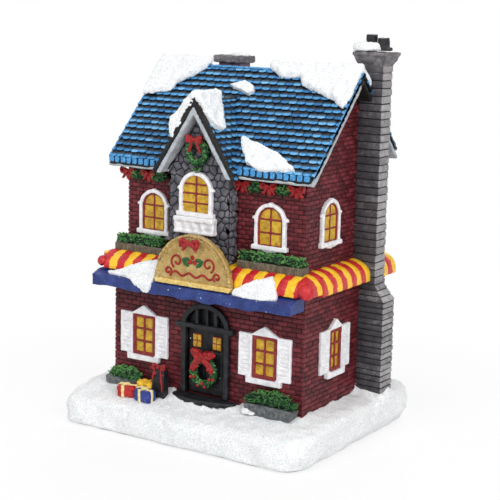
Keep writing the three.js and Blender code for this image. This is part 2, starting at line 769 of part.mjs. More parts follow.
const capBottom = chimneyTop + seatGap;
const capTop = capBottom + capHeight;
const capLeft = upperSide + seatGap - capOverhang;
const capRight = chimneyUpperSide + capOverhang;
const capFront = chimneyY - capOverhang;
const capRear = chimneyUpperRear + capOverhang;
const capProfile = [[1, 0], [0.75, 0.2], [0.25, 0.5], [0, 0.68], [0, 1]];
const capRings = capProfile.map(([inset, height]) => rectangleRing(
  capLeft + capOverhang * inset, capRight - capOverhang * inset,
  capFront + capOverhang * inset, capRear - capOverhang * inset,
  capBottom + capHeight * height,
));
addPiece('chimney_cap', loft(capRings), 'stone');

const potPlateTop = capTop + seatGap + 1;
const potY = (capFront + capRear) / 2;
const potPlate = block(capLeft + 1.6, capRight - 1.6, potY - 2.4, potY + 2.4, capTop + seatGap, potPlateTop);
const tallPot = upright(capLeft + 4, potY, potRadius, capTop + seatGap, capTop + potHeight, 14);
const shortPot = upright(capRight - 3.6, potY, potRadius, capTop + seatGap, capTop + potHeight - 1, 14);
const pots = join([potPlate, tallPot, shortPot]);
addPiece('chimney_pots', pots, 'black');

function rearChimney() {
  const x0 = rearChimneyX - rearChimneyWidth / 2;
  const x1 = rearChimneyX + rearChimneyWidth / 2;
  const y0 = ridgeY + rearChimneyBehindRidge;
  const y1 = y0 + rearChimneyDepth;
  const shaft = block(x0, x1, y0, y1, storeyTop, rearChimneyTop + 0.1);
  const cap = block(
    x0 - rearCapOverhang, x1 + rearCapOverhang, y0 - rearCapOverhang, y1 + rearCapOverhang,
    rearChimneyTop, rearChimneyTop + rearCapHeight,
  );
  const behindRidge = prism('x', [
    [ridgeY, 0], [eaveRear, 0], [eaveRear, roofSurface(eaveRear, -seatGap)],
    [ridgeY, roofSurface(ridgeY, -seatGap)],
  ], -throughCut, throughCut);
  return cut(join([shaft, cap]), [behindRidge]);
}
addPiece('rear_chimney', rearChimney(), 'stone');

// Entrance

function doorFrame() {
  const spring = groundLevel + doorSpring;
  const half = doorHalfWidth + doorFrameWidth - 0.3;
  const surround = archOutline(half, 0, spring, doorArchRise + doorFrameWidth);
  const opening = archOutline(doorHalfWidth - 0.3, -1, spring, doorArchRise - 0.3);
  const outer = prism('y', surround, -1.6, -seatGap);
  const inner = prism('y', opening, -throughCut, throughCut);
  const crossbar = block(-crossbarHalfWidth, crossbarHalfWidth, -2.1, -seatGap, spring - 0.9, spring + 0.4);
  const bars = [-0.55, -0.2, 0.2, 0.55].map((share) => {
    const x = doorHalfWidth * share;
    const top = spring + doorArchRise * Math.sqrt(1 - share * share);
    return tiltedBlock(x * 0.9, -0.8, (spring + top) / 2, [0.7, 1, top - spring + 0.6], share * 0.5);
  });
  return join([cut(outer, [inner]), crossbar, ...bars]);
}

function doorLeaf() {
  const leaf = prism('y', doorOutline(seatGap), 0.1, doorThickness);
  const sill = groundLevel + doorPaneSill;
  const cuts = [];
  [-1, 1].forEach((side) => {
    const x = side * 3.9;
    for (let column = 0; column < 2; column += 1) {
      for (let row = 0; row < 2; row += 1) {
        const x0 = x - doorPaneSize[0] / 2 + (column * doorPaneSize[0]) / 2;
        const z0 = sill + (row * doorPaneSize[1]) / 2;
        cuts.push(block(x0, x0 + doorPaneSize[0] / 2 - 0.35, -1, 0.6, z0, z0 + doorPaneSize[1] / 2 - 0.35));
      }
    }
    cuts.push(block(x - 2.2, x + 2.2, -1, 0.45, groundLevel + doorSill + 2, sill - 4));
  });
  return cut(leaf, cuts);
}

function doorStep() {
  const outline = [];
  for (let step = 0; step <= 10; step += 1) {
    const angle = Math.PI * (1 + step / 10);
    outline.push([doorX + 12.6 * Math.cos(angle), lowerFront - seatGap + stepReach * Math.sin(angle)]);
  }
  const plate = prism('z', outline, bedLevel, groundLevel + stepHeight);
  const stepLeft = doorX - crossbarHalfWidth - 0.6;
  const leftOfDoor = block(-throughCut, stepLeft, -throughCut, throughCut, 0, throughCut);
  return cut(plate, [snowLine, leftOfDoor]);
}

const frameSolid = doorFrame();
const stepSolid = doorStep();
const stepRoom = block(-throughCut, throughCut, -throughCut, 0, 0, groundLevel + stepHeight + seatGap);
addPiece('door_frame', cut(frameSolid, [stepRoom]), 'black', doorPlacement);
addPiece('door_leaf', doorLeaf(), 'black', doorPlacement);
addPiece('door_step', stepSolid, 'black');

// Wreaths with their bows, drawn as on a front wall

function bow(width, z, y) {
  const wing = width / 4;
  const loops = [-1, 1].map((side) => ball(side * wing, y, z, [wing, 0.8, width * 0.16], 10));
  const tails = [-1, 1].map((side) => (
    tiltedBlock(side * wing * 0.6, y, z - width * 0.2, [width * 0.14, 0.9, width * 0.36], -side * 0.5)
  ));
  return join([...loops, ...tails, ball(0, y, z, [width * 0.12, 1.1, width * 0.13], 8)]);
}

function wreath(size, front) {
  const ring = new THREE.TorusGeometry(size.radius, size.tube, 8, 20);
  ring.rotateX(Math.PI / 2);
  const y = -front - size.tube;
  const bowWidth = size.radius * 2.3;
  const bowHeight = size.radius + size.tube * 0.8;
  const knot = bow(bowWidth, size.height + bowHeight, y - size.tube * 0.4);
  return join([solidOf(ring.translate(0, y, size.height)), knot]);
}

const doorWreathSize = { ...doorWreath, height: groundLevel + doorWreath.height };
addPiece('door_wreath', wreath(doorWreathSize, seatGap), 'green', doorPlacement);
const dormerCrown = storeyTop + dormerWindow.spring + dormerWindow.width / 2 + casingWidth;
const dormerWreathSize = {
  ...dormerWreath,
  height: dormerCrown + keystoneRise + dormerWreath.clearance + dormerWreath.tube + dormerWreath.radius,
};
addPiece('dormer_wreath', wreath(dormerWreathSize, seatGap), 'green', dormerWindowPlace);

// Sign: a half disc with a raised rim and a ledge, standing on the beam

const signBack = awningFrontEdge - seatGap;
const signFront = signBack - signThickness;

function signBoard() {
  const foot = storeyTop + 1;
  const disc = (radius, from, to, base) => {
    const points = [];
    for (let step = 0; step <= 24; step += 1) {
      const angle = (step / 24) * Math.PI;
      points.push([signX + radius * Math.cos(angle), base + radius * 1.02 * Math.sin(angle)]);
    }
    return prism('y', points, from, to);
  };
  const board = disc(signRadius, signFront, signBack, foot);
  const rim = cut(disc(signRadius, signFront - signRimProud, signBack - 1, foot), [
    disc(signRadius - signRimWidth, -throughCut, throughCut, foot + signLedge),
  ]);
  const stand = block(signX - 11.5, signX + 11.5, signFront + 0.2, signBack, storeyTop - 2, foot + 0.5);
  return cut(join([board, rim, stand]), [beamLine]);
}
addPiece('sign_board', signBoard(), 'gold');
const signPlace = onWall('front', signX, -signFront + signRimProud);
addPiece('sign_bow', bow(7.2, storeyTop + signRadius - 0.6, -seatGap - 1.2), 'red', signPlace);

// Foliage: a block whose sides and top swell in clumps

function foliage(x0, x1, y0, y1, z0, z1, phase) {
  const columns = Math.max(3, Math.round((x1 - x0) / 1.7));
  const geometry = new THREE.BoxGeometry(x1 - x0, y1 - y0, z1 - z0, columns, 2, 2);
  geometry.translate((x0 + x1) / 2, (y0 + y1) / 2, (z0 + z1) / 2);
  const spot = geometry.attributes.position;
  for (let corner = 0; corner < spot.count; corner += 1) {
    const x = spot.getX(corner);
    const y = spot.getY(corner);
    const z = spot.getZ(corner);
    const lift = (z - z0) / (z1 - z0);
    const clump = 0.5 + 0.5 * Math.sin(2.1 * x + phase) * Math.cos(1.7 * y + phase);
    spot.setZ(corner, z - lift * clump * 0.8);
    spot.setY(corner, y - Math.sign(y - (y0 + y1) / 2) * lift * clump * 0.4);
  }
  return solidOf(geometry);
}

// Window boxes on the awning

const boxBack = upperFront - seatGap;
const boxFront = boxBack - boxDepth;
const boxEnds = [
  ['left', -upperSide - 2.5, dormerX - dormerHalfWidth - 3, 0],
  ['right', dormerX + dormerHalfWidth + 5, upperSide + 1.5, 2],
];
boxEnds.forEach(([side, x0, x1, phase]) => {
  const bottom = storeyTop + boxBaseHeight;
  const top = bottom + boxHeight;
  const trough = cut(block(x0, x1, boxFront, boxBack, bottom - 4, top), [awningLine]);
  const greens = foliage(
    x0 + 0.3, x1 - 0.3, boxFront, boxBack - 0.2, top + seatGap, top + boxGreensHeight, phase,
  );
  addPiece(`${side}_window_box`, trough, 'box');
  addPiece(`${side}_box_greens`, greens, 'green');
});

// Garlands under the eave: clumps of green between red bows

const garlandY = upperFront - seatGap - 1.2;
const garlandZ = roofSurface(upperFront, wallTopDepth) - 5.6;
const garlandSag = 0.6; // the greens hang this much lower than the bows

function garland(itemsFromCorner, side) {
  const radii = { green: [2.9, 1, 1.6], bow: [2.2, 1.1, 2] };
  const places = itemsFromCorner.map(([, offset]) => side * (upperSide - offset));
  const clumps = itemsFromCorner.map(([kind], item) => {
    const z = kind === 'bow' ? garlandZ : garlandZ - garlandSag;
    return ball(places[item], garlandY, z, radii[kind], 10);
  });
  const vine = block(
    Math.min(...places), Math.max(...places), garlandY - 0.5, garlandY + 0.5, garlandZ - 0.9, garlandZ + 0.1,
  );
  return join([...clumps, vine]);
}
const leftFromCorner = [['bow', 1.5], ['green', 5.2], ['bow', 9.1], ['green', 12.9]];
const rightFromCorner = [['bow', 2.5], ['green', 6.9], ['bow', 12.1], ['green', 17.2], ['bow', 21.1]];
addPiece('garland_left', garland(leftFromCorner, -1), 'green');
addPiece('garland_right', garland(rightFromCorner, 1), 'green');

// Planters, post box and presents, bedded in the snow

const bed = lowerFront - seatGap;

function planter(x0, x1, depth, rim, crown, phase) {
  const trough = cut(block(x0, x1, bed - depth, bed, bedLevel, groundLevel + rim), [snowLine]);
  const greens = foliage(
    x0 + 0.3, x1 - 0.3, bed - depth + 0.1, bed - 0.2, groundLevel + rim, groundLevel + crown, phase,
  );
  return { trough, greens };
}
const leftPlanter = planter(-lowerSide - 1.7, -lowerSide + 12, 3.4, 2, 5.9, 1);
const rightPlanter = planter(lowerSide - 18.1, lowerSide - 0.6, 3.9, 2.8, 7.6, 3);
addPiece('left_planter', join([leftPlanter.trough, leftPlanter.greens]), 'green');
addPiece('right_planter', rightPlanter.trough, 'box');
addPiece('right_planter_greens', rightPlanter.greens.translate([0, 0, seatGap]), 'green');

const postBoxX = doorX - doorHalfWidth - 6.6;
const postBoxOutline = archOutline(2.2, bedLevel, groundLevel + 6.9, 2.2, postBoxX);
const postBox = prism('y', postBoxOutline, bed - 5.6, bed - 3.1);
addPiece('post_box', cut(postBox, [snowLine]), 'black');

function present(x, y, size, top, turn, finish, name) {
  const [width, depth] = size;
  const height = top - bedLevel;
  const parts = [
    new THREE.BoxGeometry(width, depth, height),
    new THREE.BoxGeometry(width + 0.4, 0.9, height + 0.4),
    new THREE.BoxGeometry(0.9, depth + 0.4, height + 0.4),
  ];
  const solids = parts.map((geometry) => {
    geometry.rotateZ(turn);
    return solidOf(geometry.translate(x, y, top - height / 2));
  });
  [-0.7, 0.7].forEach((loop) => solids.push(ball(x + loop, y, top + 0.5, [0.9, 0.6, 0.6], 8)));
  addPiece(name, cut(join(solids), [snowLine]), finish);
}
present(lowerWindowX[0] - 2, bed - 6.9, [4.2, 3.6], groundLevel + 1.8, 0.35, 'red', 'present_red');
present(lowerWindowX[0] + 3.5, bed - 4.1, [5, 2.8], groundLevel + 3.2, -0.05, 'yellow', 'present_yellow');
present(lowerWindowX[0] + 5.6, bed - 7.9, [5.2, 3.2], groundLevel + 1.6, -0.15, 'blue', 'present_blue');

// Snow on the roofs, awning and chimney

function slopeSnow(outline) {
  const band = prism('x', [
    [eaveFront, roofSurface(eaveFront, -seatGap)], [ridgeY, roofSurface(ridgeY, -seatGap)],
    [eaveRear, roofSurface(eaveRear, -seatGap)], [eaveRear, roofSurface(eaveRear, -seatGap - snowThickness)],
    [ridgeY, roofSurface(ridgeY, -seatGap - snowThickness)],
    [eaveFront, roofSurface(eaveFront, -seatGap - snowThickness)],
  ], -roofSide, roofSide);
  return band.intersect(prism('z', outline, 0, ridgeHeight + throughCut));
}

const snowEnd = roofSide - 0.3; // the snow stops just short of the verge
addPiece('roof_snow_left', slopeSnow([
  [-snowEnd, -7.3], [-31.2, -6.4], [-27.2, -5.3], [-25.9, -2.8], [-22.4, -1.2], [-19.1, 1.4],
  [-17.6, 3.2], [-21, 6.4], [-30, 7.6], [-snowEnd, 6.2],
]), 'snow');
addPiece('roof_snow_right', cut(slopeSnow([
  [4.9, 2.2], [10.6, 0.1], [16.9, 0.4], [19.8, -2], [24.5, -3.4], [31.8, -5.2], [snowEnd - 0.9, -7.3],
  [snowEnd, -4.5], [snowEnd - 0.3, 2], [snowEnd, 8.2], [28, 7], [16, 7.4], [8, 5.6],
]), [roofNotches[1]]), 'snow');
addPiece('roof_snow_lower', slopeSnow([
  [10.4, -17.4], [13, -16.7], [16.8, -18.6], [23.1, -20.3], [28, -22], [30.7, -24.2],
  [25.9, -24.5], [17, -24.5], [12.6, -22.3],
]), 'snow');

function dormerSnow() {
  const foot = (depth) => dormerHalfSpan - depth / Math.sin(dormerPitch);
  const under = -seatGap;
  const over = -seatGap - snowThickness;
  const band = prism('y', [
    [-foot(over), dormerEaveHeight], [-foot(under), dormerEaveHeight], [0, dormerSurface(0, under)],
    [foot(under), dormerEaveHeight], [foot(over), dormerEaveHeight], [0, dormerSurface(0, over)],
  ].map(([x, z]) => [x + dormerX, z]), dormerRoofFront, ridgeY);
  const front = dormerRoofFront;
  const patch = prism('z', [
    [-8.8, front + 0.2], [-8.3, front + 2.6], [-4, front + 4.2], [-2.5, front + 9.5], [-1, front + 15],
    [3.5, front + 14], [5, front + 8.5], [7, front + 5], [6, front + 2.2], [3, front + 0.5], [0, front + 0.1],
  ].map(([x, y]) => [x + dormerX, y]), 0, ridgeHeight + throughCut);
  return cut(band.intersect(patch), [roofLine]);
}
addPiece('dormer_snow', dormerSnow(), 'snow');

function awningSurface(y) {
  const out = upperFront - seatGap - y;
  if (out >= frontAwningRun) {
    const up = THREE.MathUtils.clamp((y - beamFront) / beamBevelDepth, 0, 1);
    return beamShoulder + beamBevel * up;
  }
  const share = out / frontAwningRun;
  return awningBottom + awningLip + (awningRise - awningLip) * Math.sqrt(1 - share * share);
}

function awningSnow(outline) {
  const under = [];
  const stations = 12;
  const back = boxFront - seatGap;
  const front = beamFront - seatGap - snowThickness;
  for (let step = 0; step <= stations; step += 1) {
    const y = front + ((back - front) * step) / stations;
    const ahead = Math.max(awningSurface(y), awningSurface(y + 0.7));
    under.push([y, ahead + seatGap * 1.6]);
  }
  const over = under.map(([y, z]) => [y, z + snowThickness]).reverse();
  const band = prism('x', [...under, ...over], -throughCut, throughCut);
  return band.intersect(prism('z', outline, 0, throughCut * 2));
}

const signLeft = signX - signRadius - seatGap;
const signRight = signX + signRadius + seatGap;
const drip = prism('y', [
  [signLeft - 8.4, beamShoulder - 0.6], [signLeft - 5.2, beamShoulder - 1.8],
  [signLeft - 2.4, beamBottom + 0.3], [signLeft - 0.4, beamBottom + 0.5],
  [signLeft, beamShoulder + 1.4], [signLeft - 8, beamShoulder + 1.4],
], beamFront - seatGap - snowThickness, beamFront - seatGap);
addPiece('awning_snow_left', cut(join([awningSnow([
  [-34.5, -29.4], [-33.3, -30.8], [-24, beamFront - 2], [signLeft, beamFront - 2], [signLeft, -25.1],
  [-17.9, -25.4], [-22.5, -27.6],
]), drip]), [beamLine, awningLine]), 'snow');
addPiece('awning_snow_right', cut(awningSnow([
  [signRight, -31.4], [18, -31.9], [25.2, -31.4], [30.4, -29.6], [26, -26.4], [19, -27.8], [signRight, -29.4],
]), [beamLine, awningLine]), 'snow');

const capSnow = ball((capLeft + capRight) / 2 - 2, potY - 1.4, capTop + 0.9, [5.2, 3.4, 1.9], 14);
const capLine = block(-throughCut, throughCut, -throughCut, throughCut, 0, capTop + seatGap);
const potRoom = [
  block(
    capLeft + 1.6 - seatGap, capRight - 1.6 + seatGap,
    potY - 2.4 - seatGap, potY + 2.4 + seatGap, 0, potPlateTop + seatGap,
  ),
  upright(capLeft + 4, potY, potRadius + seatGap, 0, capTop + throughCut, 14),
  upright(capRight - 3.6, potY, potRadius + seatGap, 0, capTop + throughCut, 14),
];
addPiece('chimney_snow', cut(capSnow, [capLine, ...potRoom]), 'snow');

// Light unit in the underside: tray, lamp, coin cell, cover with a captive screw, slide switch

const coverX0 = cellX - coverLength / 2 + 2.2;
const coverX1 = coverX0 + coverLength;
const screwX = coverX1 - 3.6;
const coverTop = unitRecess + coverThickness;
const cellBottom = coverTop + seatGap;
const cellTop = cellBottom + cellThickness;
const cellCeiling = cellTop + seatGap;
const switchX = ledX + 0.5;
const sliderBottom = coverTop + 0.3;

function lightHousing() {
  const body = block(-unitWidth / 2, unitWidth / 2, -unitDepth / 2, unitDepth / 2, unitRecess, unitTop);
  const coverRoom = block(
    coverX0 - slideGap, coverX1 + slideGap, -coverWidth / 2 - slideGap, coverWidth / 2 + slideGap,
    -1, coverTop + slideGap,
  );
  const cellPocket = upright(cellX, 0, cellRadius + seatGap, 0, cellCeiling, 28);
  const screwHole = upright(screwX, 0, screwShankRadius + slideGap, 0, unitTop - 0.4, 12);
  const lampHole = upright(ledX, 0, ledRadius + seatGap, 3.8, unitTop + 1, 20);
  const leadSlot = block(cellX + 2, ledX, -2, 2, cellCeiling - 0.1, unitTop + 1);
  const knobSlot = block(
    switchX - knobSize[0] / 2 - slideGap, switchX + knobSize[0] / 2 + switchTravel + slideGap,
    switchY - knobSize[1] / 2 - slideGap, switchY + knobSize[1] / 2 + slideGap, 0, sliderBottom,
  );
  const sliderRoom = block(
    switchX - sliderSize[0] / 2 - slideGap, switchX + sliderSize[0] / 2 + switchTravel + slideGap,
    switchY - sliderSize[1] / 2 - slideGap, switchY + sliderSize[1] / 2 + slideGap,
    sliderBottom - slideGap, unitTop + 1,
  );
  return cut(body, [coverRoom, cellPocket, screwHole, lampHole, leadSlot, knobSlot, sliderRoom]);
}
addPiece('light_housing', lightHousing(), 'plastic');

const lamp = join([
  upright(ledX, 0, ledRadius, 4.1, ledTop - ledRadius, 20),
  ball(ledX, 0, ledTop - ledRadius, [ledRadius, ledRadius, ledRadius], 20),
  block(cellX + 3, ledX, -1.6, -0.9, cellCeiling + 0.1, unitTop - 0.2),
  block(cellX + 3, ledX, 0.9, 1.6, cellCeiling + 0.1, unitTop - 0.2),
]);
addPiece('lamp', lamp, 'lens');
addPiece('coin_cell', upright(cellX, 0, cellRadius, cellBottom, cellTop, 28), 'steel');

function batteryCover() {
  const plate = block(coverX0, coverX1, -coverWidth / 2, coverWidth / 2, unitRecess, coverTop);
  const headRoom = upright(screwX, 0, screwHeadRadius + slideGap, 0, unitRecess + 1.3, 20);
  const shankRoom = upright(screwX, 0, screwShankRadius + slideGap, 0, unitTop, 12);
  return cut(plate, [headRoom, shankRoom]);
}
addPiece('battery_cover', batteryCover(), 'plastic');

function coverScrew() {
  const headTop = unitRecess + 1.3 - slideGap;
  const head = upright(screwX, 0, screwHeadRadius, unitRecess + 0.1, headTop, 20);
  const shank = upright(screwX, 0, screwShankRadius, headTop - 0.2, unitRecess + screwLength, 12);
  const slot = block(screwX - 0.3, screwX + 0.3, -throughCut, throughCut, 0, unitRecess + 0.5);
  return cut(join([head, shank]), [slot]);
}
addPiece('cover_screw', coverScrew(), 'steel');

const knob = join([
  block(
    switchX - knobSize[0] / 2, switchX + knobSize[0] / 2,
    switchY - knobSize[1] / 2, switchY + knobSize[1] / 2, unitRecess - 0.7, sliderBottom + 0.1,
  ),
  block(
    switchX - sliderSize[0] / 2, switchX + sliderSize[0] / 2,
    switchY - sliderSize[1] / 2, switchY + sliderSize[1] / 2, sliderBottom, unitTop - seatGap,
  ),
]);
addPiece('switch_knob', knob, 'plastic');

shop.position.set(-(baseLeft + baseRight) / 2, -(baseFront + baseRear) / 2, 0);

export default shop;
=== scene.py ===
import math
import random

import bpy
import numpy as np
from mathutils import Matrix, Vector, noise


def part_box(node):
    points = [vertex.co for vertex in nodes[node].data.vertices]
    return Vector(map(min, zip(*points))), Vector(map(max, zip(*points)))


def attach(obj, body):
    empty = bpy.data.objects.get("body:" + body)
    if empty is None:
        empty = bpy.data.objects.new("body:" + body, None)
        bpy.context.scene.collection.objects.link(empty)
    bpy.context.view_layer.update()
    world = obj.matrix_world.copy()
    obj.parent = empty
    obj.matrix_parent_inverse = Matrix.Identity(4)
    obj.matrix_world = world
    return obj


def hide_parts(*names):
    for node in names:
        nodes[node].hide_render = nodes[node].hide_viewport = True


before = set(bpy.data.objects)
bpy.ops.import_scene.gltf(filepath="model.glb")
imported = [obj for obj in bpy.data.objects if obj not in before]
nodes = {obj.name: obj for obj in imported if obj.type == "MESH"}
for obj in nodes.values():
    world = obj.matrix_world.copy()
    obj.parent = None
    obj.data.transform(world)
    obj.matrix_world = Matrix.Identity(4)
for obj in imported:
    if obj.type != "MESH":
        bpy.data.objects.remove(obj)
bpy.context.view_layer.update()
mm = 0.001
firstSeed = 1225
rng = random.Random(firstSeed)
noise.seed_set(firstSeed)
bpy.context.scene.view_settings.view_transform = "Standard"


# Small helpers. All sizes below are millimetres, and the meshes are metres.

def boxOf(node):
    low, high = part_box(node)
    return low / mm, high / mm


def placed(name, data):
    piece = bpy.data.objects.new(name, data)
    bpy.context.scene.collection.objects.link(piece)
    return piece


def pick(*pieces):
    bpy.ops.object.select_all(action="DESELECT")
    for piece in pieces:
        piece.select_set(True)
    bpy.context.view_layer.objects.active = pieces[0]


# Opens a piece for editing, with all of it selected
def editAll(piece):
    pick(piece)
    bpy.ops.object.mode_set(mode="EDIT")
    bpy.ops.mesh.select_all(action="SELECT")


# Opens a piece for editing, with only the faces, edges or points selected that pass the test
def editSome(piece, kind, test):
    pick(piece)
    bpy.ops.object.mode_set(mode="EDIT")
    bpy.ops.mesh.select_mode(type=kind)
    bpy.ops.mesh.select_all(action="DESELECT")
    closeEdit()
    mesh = piece.data
    for item in {"FACE": mesh.polygons, "EDGE": mesh.edges, "VERT": mesh.vertices}[kind]:
        item.select = bool(test(item))
    bpy.ops.object.mode_set(mode="EDIT")


def closeEdit():
    bpy.ops.object.mode_set(mode="OBJECT")


def applyModifier(piece, kind, **settings):
    pick(piece)
    modifier = piece.modifiers.new(kind, kind)
    for name, value in settings.items():
        setattr(modifier, name, value)
    bpy.ops.object.modifier_apply(modifier=modifier.name)


def settle(piece):
    pick(piece)
    bpy.ops.object.transform_apply(location=True, rotation=True, scale=True)


def vectorsOf(items, key):
    flat = np.zeros(len(items) * 3, np.float32)
    items.foreach_get(key, flat)
    return flat.reshape(-1, 3)


def points(piece):
    return vectorsOf(piece.data.vertices, "co") / mm


def setPoints(piece, places):
    piece.data.vertices.foreach_set("co", (places * mm).astype(np.float32).ravel())
    piece.data.update()


def shifted(x, y, z, turn=0.0):
    return Matrix.Translation(Vector((x, y, z)) * mm) @ Matrix.Rotation(turn, 4, "Z")


def moved(piece, matrix):
    piece.data.transform(matrix)
    return piece


def movedAcross(piece, x):
    return moved(piece, Matrix.Translation(Vector((x * mm, 0, 0))))


def outward(piece, merge=0.01):
    editAll(piece)
    bpy.ops.mesh.remove_doubles(threshold=merge * mm)
    bpy.ops.mesh.normals_make_consistent(inside=False)
    closeEdit()


def joined(name, pieces):
    pick(*pieces)
    if len(pieces) > 1:
        bpy.ops.object.join()
    piece = bpy.context.active_object
    piece.name = name
    piece.data.name = name
    return piece


def twin(piece, name=None):
    made = piece.copy()
    made.data = piece.data.copy()
    made.name = name or piece.name
    bpy.context.scene.collection.objects.link(made)
    return made


def discard(*pieces):
    for piece in pieces:
        bpy.data.objects.remove(piece)


def copiesOf(template, matrices, name):
    return joined(name, [moved(twin(template, name), matrix) for matrix in matrices])


def paint(piece, *materials):
    piece.data.materials.clear()
    for material in materials:
        piece.data.materials.append(material)
    return piece


def dress(piece, slot, *replaced):
    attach(piece, "root")
    if replaced:
        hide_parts(*replaced)
    return piece


def block(low, high, softness=0.0, steps=2):
    centre = [(a + b) / 2 * mm for a, b in zip(low, high)]
    size = [(b - a) * mm for a, b in zip(low, high)]
    bpy.ops.mesh.primitive_cube_add(size=1, location=centre, scale=size)
    piece = bpy.context.active_object
    settle(piece)
    if softness:
        editAll(piece)
        bpy.ops.mesh.bevel(offset=softness * mm, segments=steps, affect="EDGES")
        closeEdit()
    return piece


def lump(centre, radii, turn=(0, 0, 0), level=2):
    bpy.ops.mesh.primitive_ico_sphere_add(
        subdivisions=level, radius=1, location=[c * mm for c in centre],
        rotation=turn, scale=[r * mm for r in radii])
    piece = bpy.context.active_object
    settle(piece)
    return piece


# A flat outline in metres, carried along a path into a closed solid
def solid(outline, path):
    mesh = bpy.data.meshes.new("solid")
    mesh.from_pydata(outline, [], [range(len(outline))])
    piece = placed("solid", mesh)
    editAll(piece)
    bpy.ops.mesh.extrude_region_move(TRANSFORM_OT_translate={"value": path})
    bpy.ops.mesh.select_all(action="SELECT")
    bpy.ops.mesh.normals_make_consistent(inside=False)
    closeEdit()
    return piece


# An outline drawn in x and z, carried back along +y
def plate(outline, front, back):
    return solid([(x * mm, front * mm, z * mm) for x, z in outline], (0, (back - front) * mm, 0))


def archLine(half, sill, spring, rise, steps=16):
    line = [(-half, sill), (half, sill)]
    for step in range(steps + 1):
        angle = math.pi * step / steps
        line.append((half * math.cos(angle), spring + rise * math.sin(angle)))
    return line


# The band between two arches, open at the foot
def archBand(half, width, foot, spring, rise=None, steps=16):
    rise = half if rise is None else rise
    outer = archLine(half, foot, spring, rise, steps)[1:] + [(-half, foot)]
    inner = archLine(half - width, foot, spring, rise - width, steps)[1:] + [(width - half, foot)]
    return outer + inner[::-1]


def softly(piece, angle):
    pick(piece)
    bpy.ops.object.shade_smooth_by_angle(angle=math.radians(angle))
    return piece


def noiseAt(places, size):
    return np.array([noise.noise(Vector(spot) / size) for spot in places])


def driftAt(places, size, shift=Vector((0, 0, 0))):
    return np.array([noise.noise_vector(Vector(spot) / size + shift) for spot in places])


# Folds of a ribbon, narrow across it and long down it
def foldsAt(places, across, down, seed=0.0):
    return np.array([noise.noise(Vector((spot[0] / across, seed, spot[2] / down))) for spot in places])


# Small vertex moves that stand for the sculptor's uneven hand
def uneven(piece, amount, size, seed=0.0):
    places = points(piece)
    places += driftAt(places, size, Vector((seed, seed * 1.7, -seed))) * amount
    setPoints(piece, places)
    return piece


# Closed parts as one skin, with its edges rounded over
def remeshed(piece, voxel, smoothing=0):
    applyModifier(piece, "REMESH", mode="VOXEL", voxel_size=voxel * mm)
    if smoothing:
        applyModifier(piece, "SMOOTH", factor=0.5, iterations=smoothing)
    return piece


def softened(piece, voxel, smoothing, wave, waveSize, seed):
    uneven(remeshed(piece, voxel, smoothing), wave, waveSize, seed)
    piece.data.shade_smooth()
    return piece


# A cast copy of a CAD solid: merged, remeshed so that its edges round over, and a little uneven
def cast(node, name, voxel, wave, waveSize, smoothing, seed=0.0):
    piece = placed(name, nodes[node].data.copy())
    outward(piece, 0.002)
    return softened(piece, voxel, smoothing, wave, waveSize, seed)


# Joins closed parts and remeshes them into one soft casting
def moulded(name, parts, voxel, smoothing, wave, waveSize, seed=0.0):
    return softened(joined(name, parts), voxel, smoothing, wave, waveSize, seed)


# Each point's own share between the dark and the lit end of its paint
def tones(piece, values):
    attribute = piece.data.attributes.new("tone", "FLOAT", "POINT")
    attribute.data.foreach_set("value", np.asarray(values, np.float32))


def oneTone(piece, value):
    tones(piece, [value] * len(piece.data.vertices))
    return piece


# Camera at the photograph's viewing angle

camera = {"azimuth": 32.74, "elevation": 10.76, "roll": 1.29, "distance": 422.6,
          "target": (2.67, -1.11, 56.47), "lens": 95.95, "sensor": 36, "clip": (0.01, 20)}


def addCamera():
    azimuth, elevation, roll = (math.radians(camera[key]) for key in ("azimuth", "elevation", "roll"))
    back = Vector((math.sin(azimuth) * math.cos(elevation),
                   -math.cos(azimuth) * math.cos(elevation), math.sin(elevation)))
    level = Vector((math.cos(azimuth), math.sin(azimuth), 0))
    above = back.cross(level)
    right = math.cos(roll) * level + math.sin(roll) * above
    up = back.cross(right)
    spot = (Vector(camera["target"]) + back * camera["distance"]) * mm
    lens = bpy.data.cameras.new("camera")
    lens.lens = camera["lens"]
    lens.sensor_width = camera["sensor"]
    lens.clip_start, lens.clip_end = camera["clip"]
    holder = placed("camera", lens)
    turn = Matrix((right, up, back)).transposed()
    holder.matrix_world = Matrix.Translation(spot) @ turn.to_4x4()
    bpy.context.scene.camera = holder


addCamera()
print("camera placed")


# Materials

def linear(hexColor):
    parts = [int(hexColor[i:i + 2], 16) / 255 for i in (0, 2, 4)]
    return [c / 12.92 if c <= 0.04045 else ((c + 0.055) / 1.055) ** 2.4 for c in parts] + [1.0]


def addNode(material, kind, values=None, links=None, **settings):
    made = material.node_tree.nodes.new(kind)
    for name, value in settings.items():
        setattr(made, name, value)
    for socket, value in (values or {}).items():
        made.inputs[socket].default_value = value
    for socket, source in (links or {}).items():
        material.node_tree.links.new(source, made.inputs[socket])
    return made


# One step of shader arithmetic: a socket is linked, and a number is set
def sums(material, operation, *terms):
    made = addNode(material, "ShaderNodeMath", operation=operation)
    for socket, term in zip(made.inputs, terms):
        if hasattr(term, "is_output"):
            material.node_tree.links.new(term, socket)
        else:
            socket.default_value = term
    return made.outputs[0]


def blended(material, share, first, second):
    return addNode(material, "ShaderNodeMix", {0: share}, {2: first, 3: second}).outputs[0]


# Where a shader looks: a place on the piece in metres
def placeOn(material):
    return addNode(material, "ShaderNodeTexCoord").outputs["Object"]


def ownTone(material):
    return addNode(material, "ShaderNodeAttribute", attribute_name="tone").outputs["Fac"]


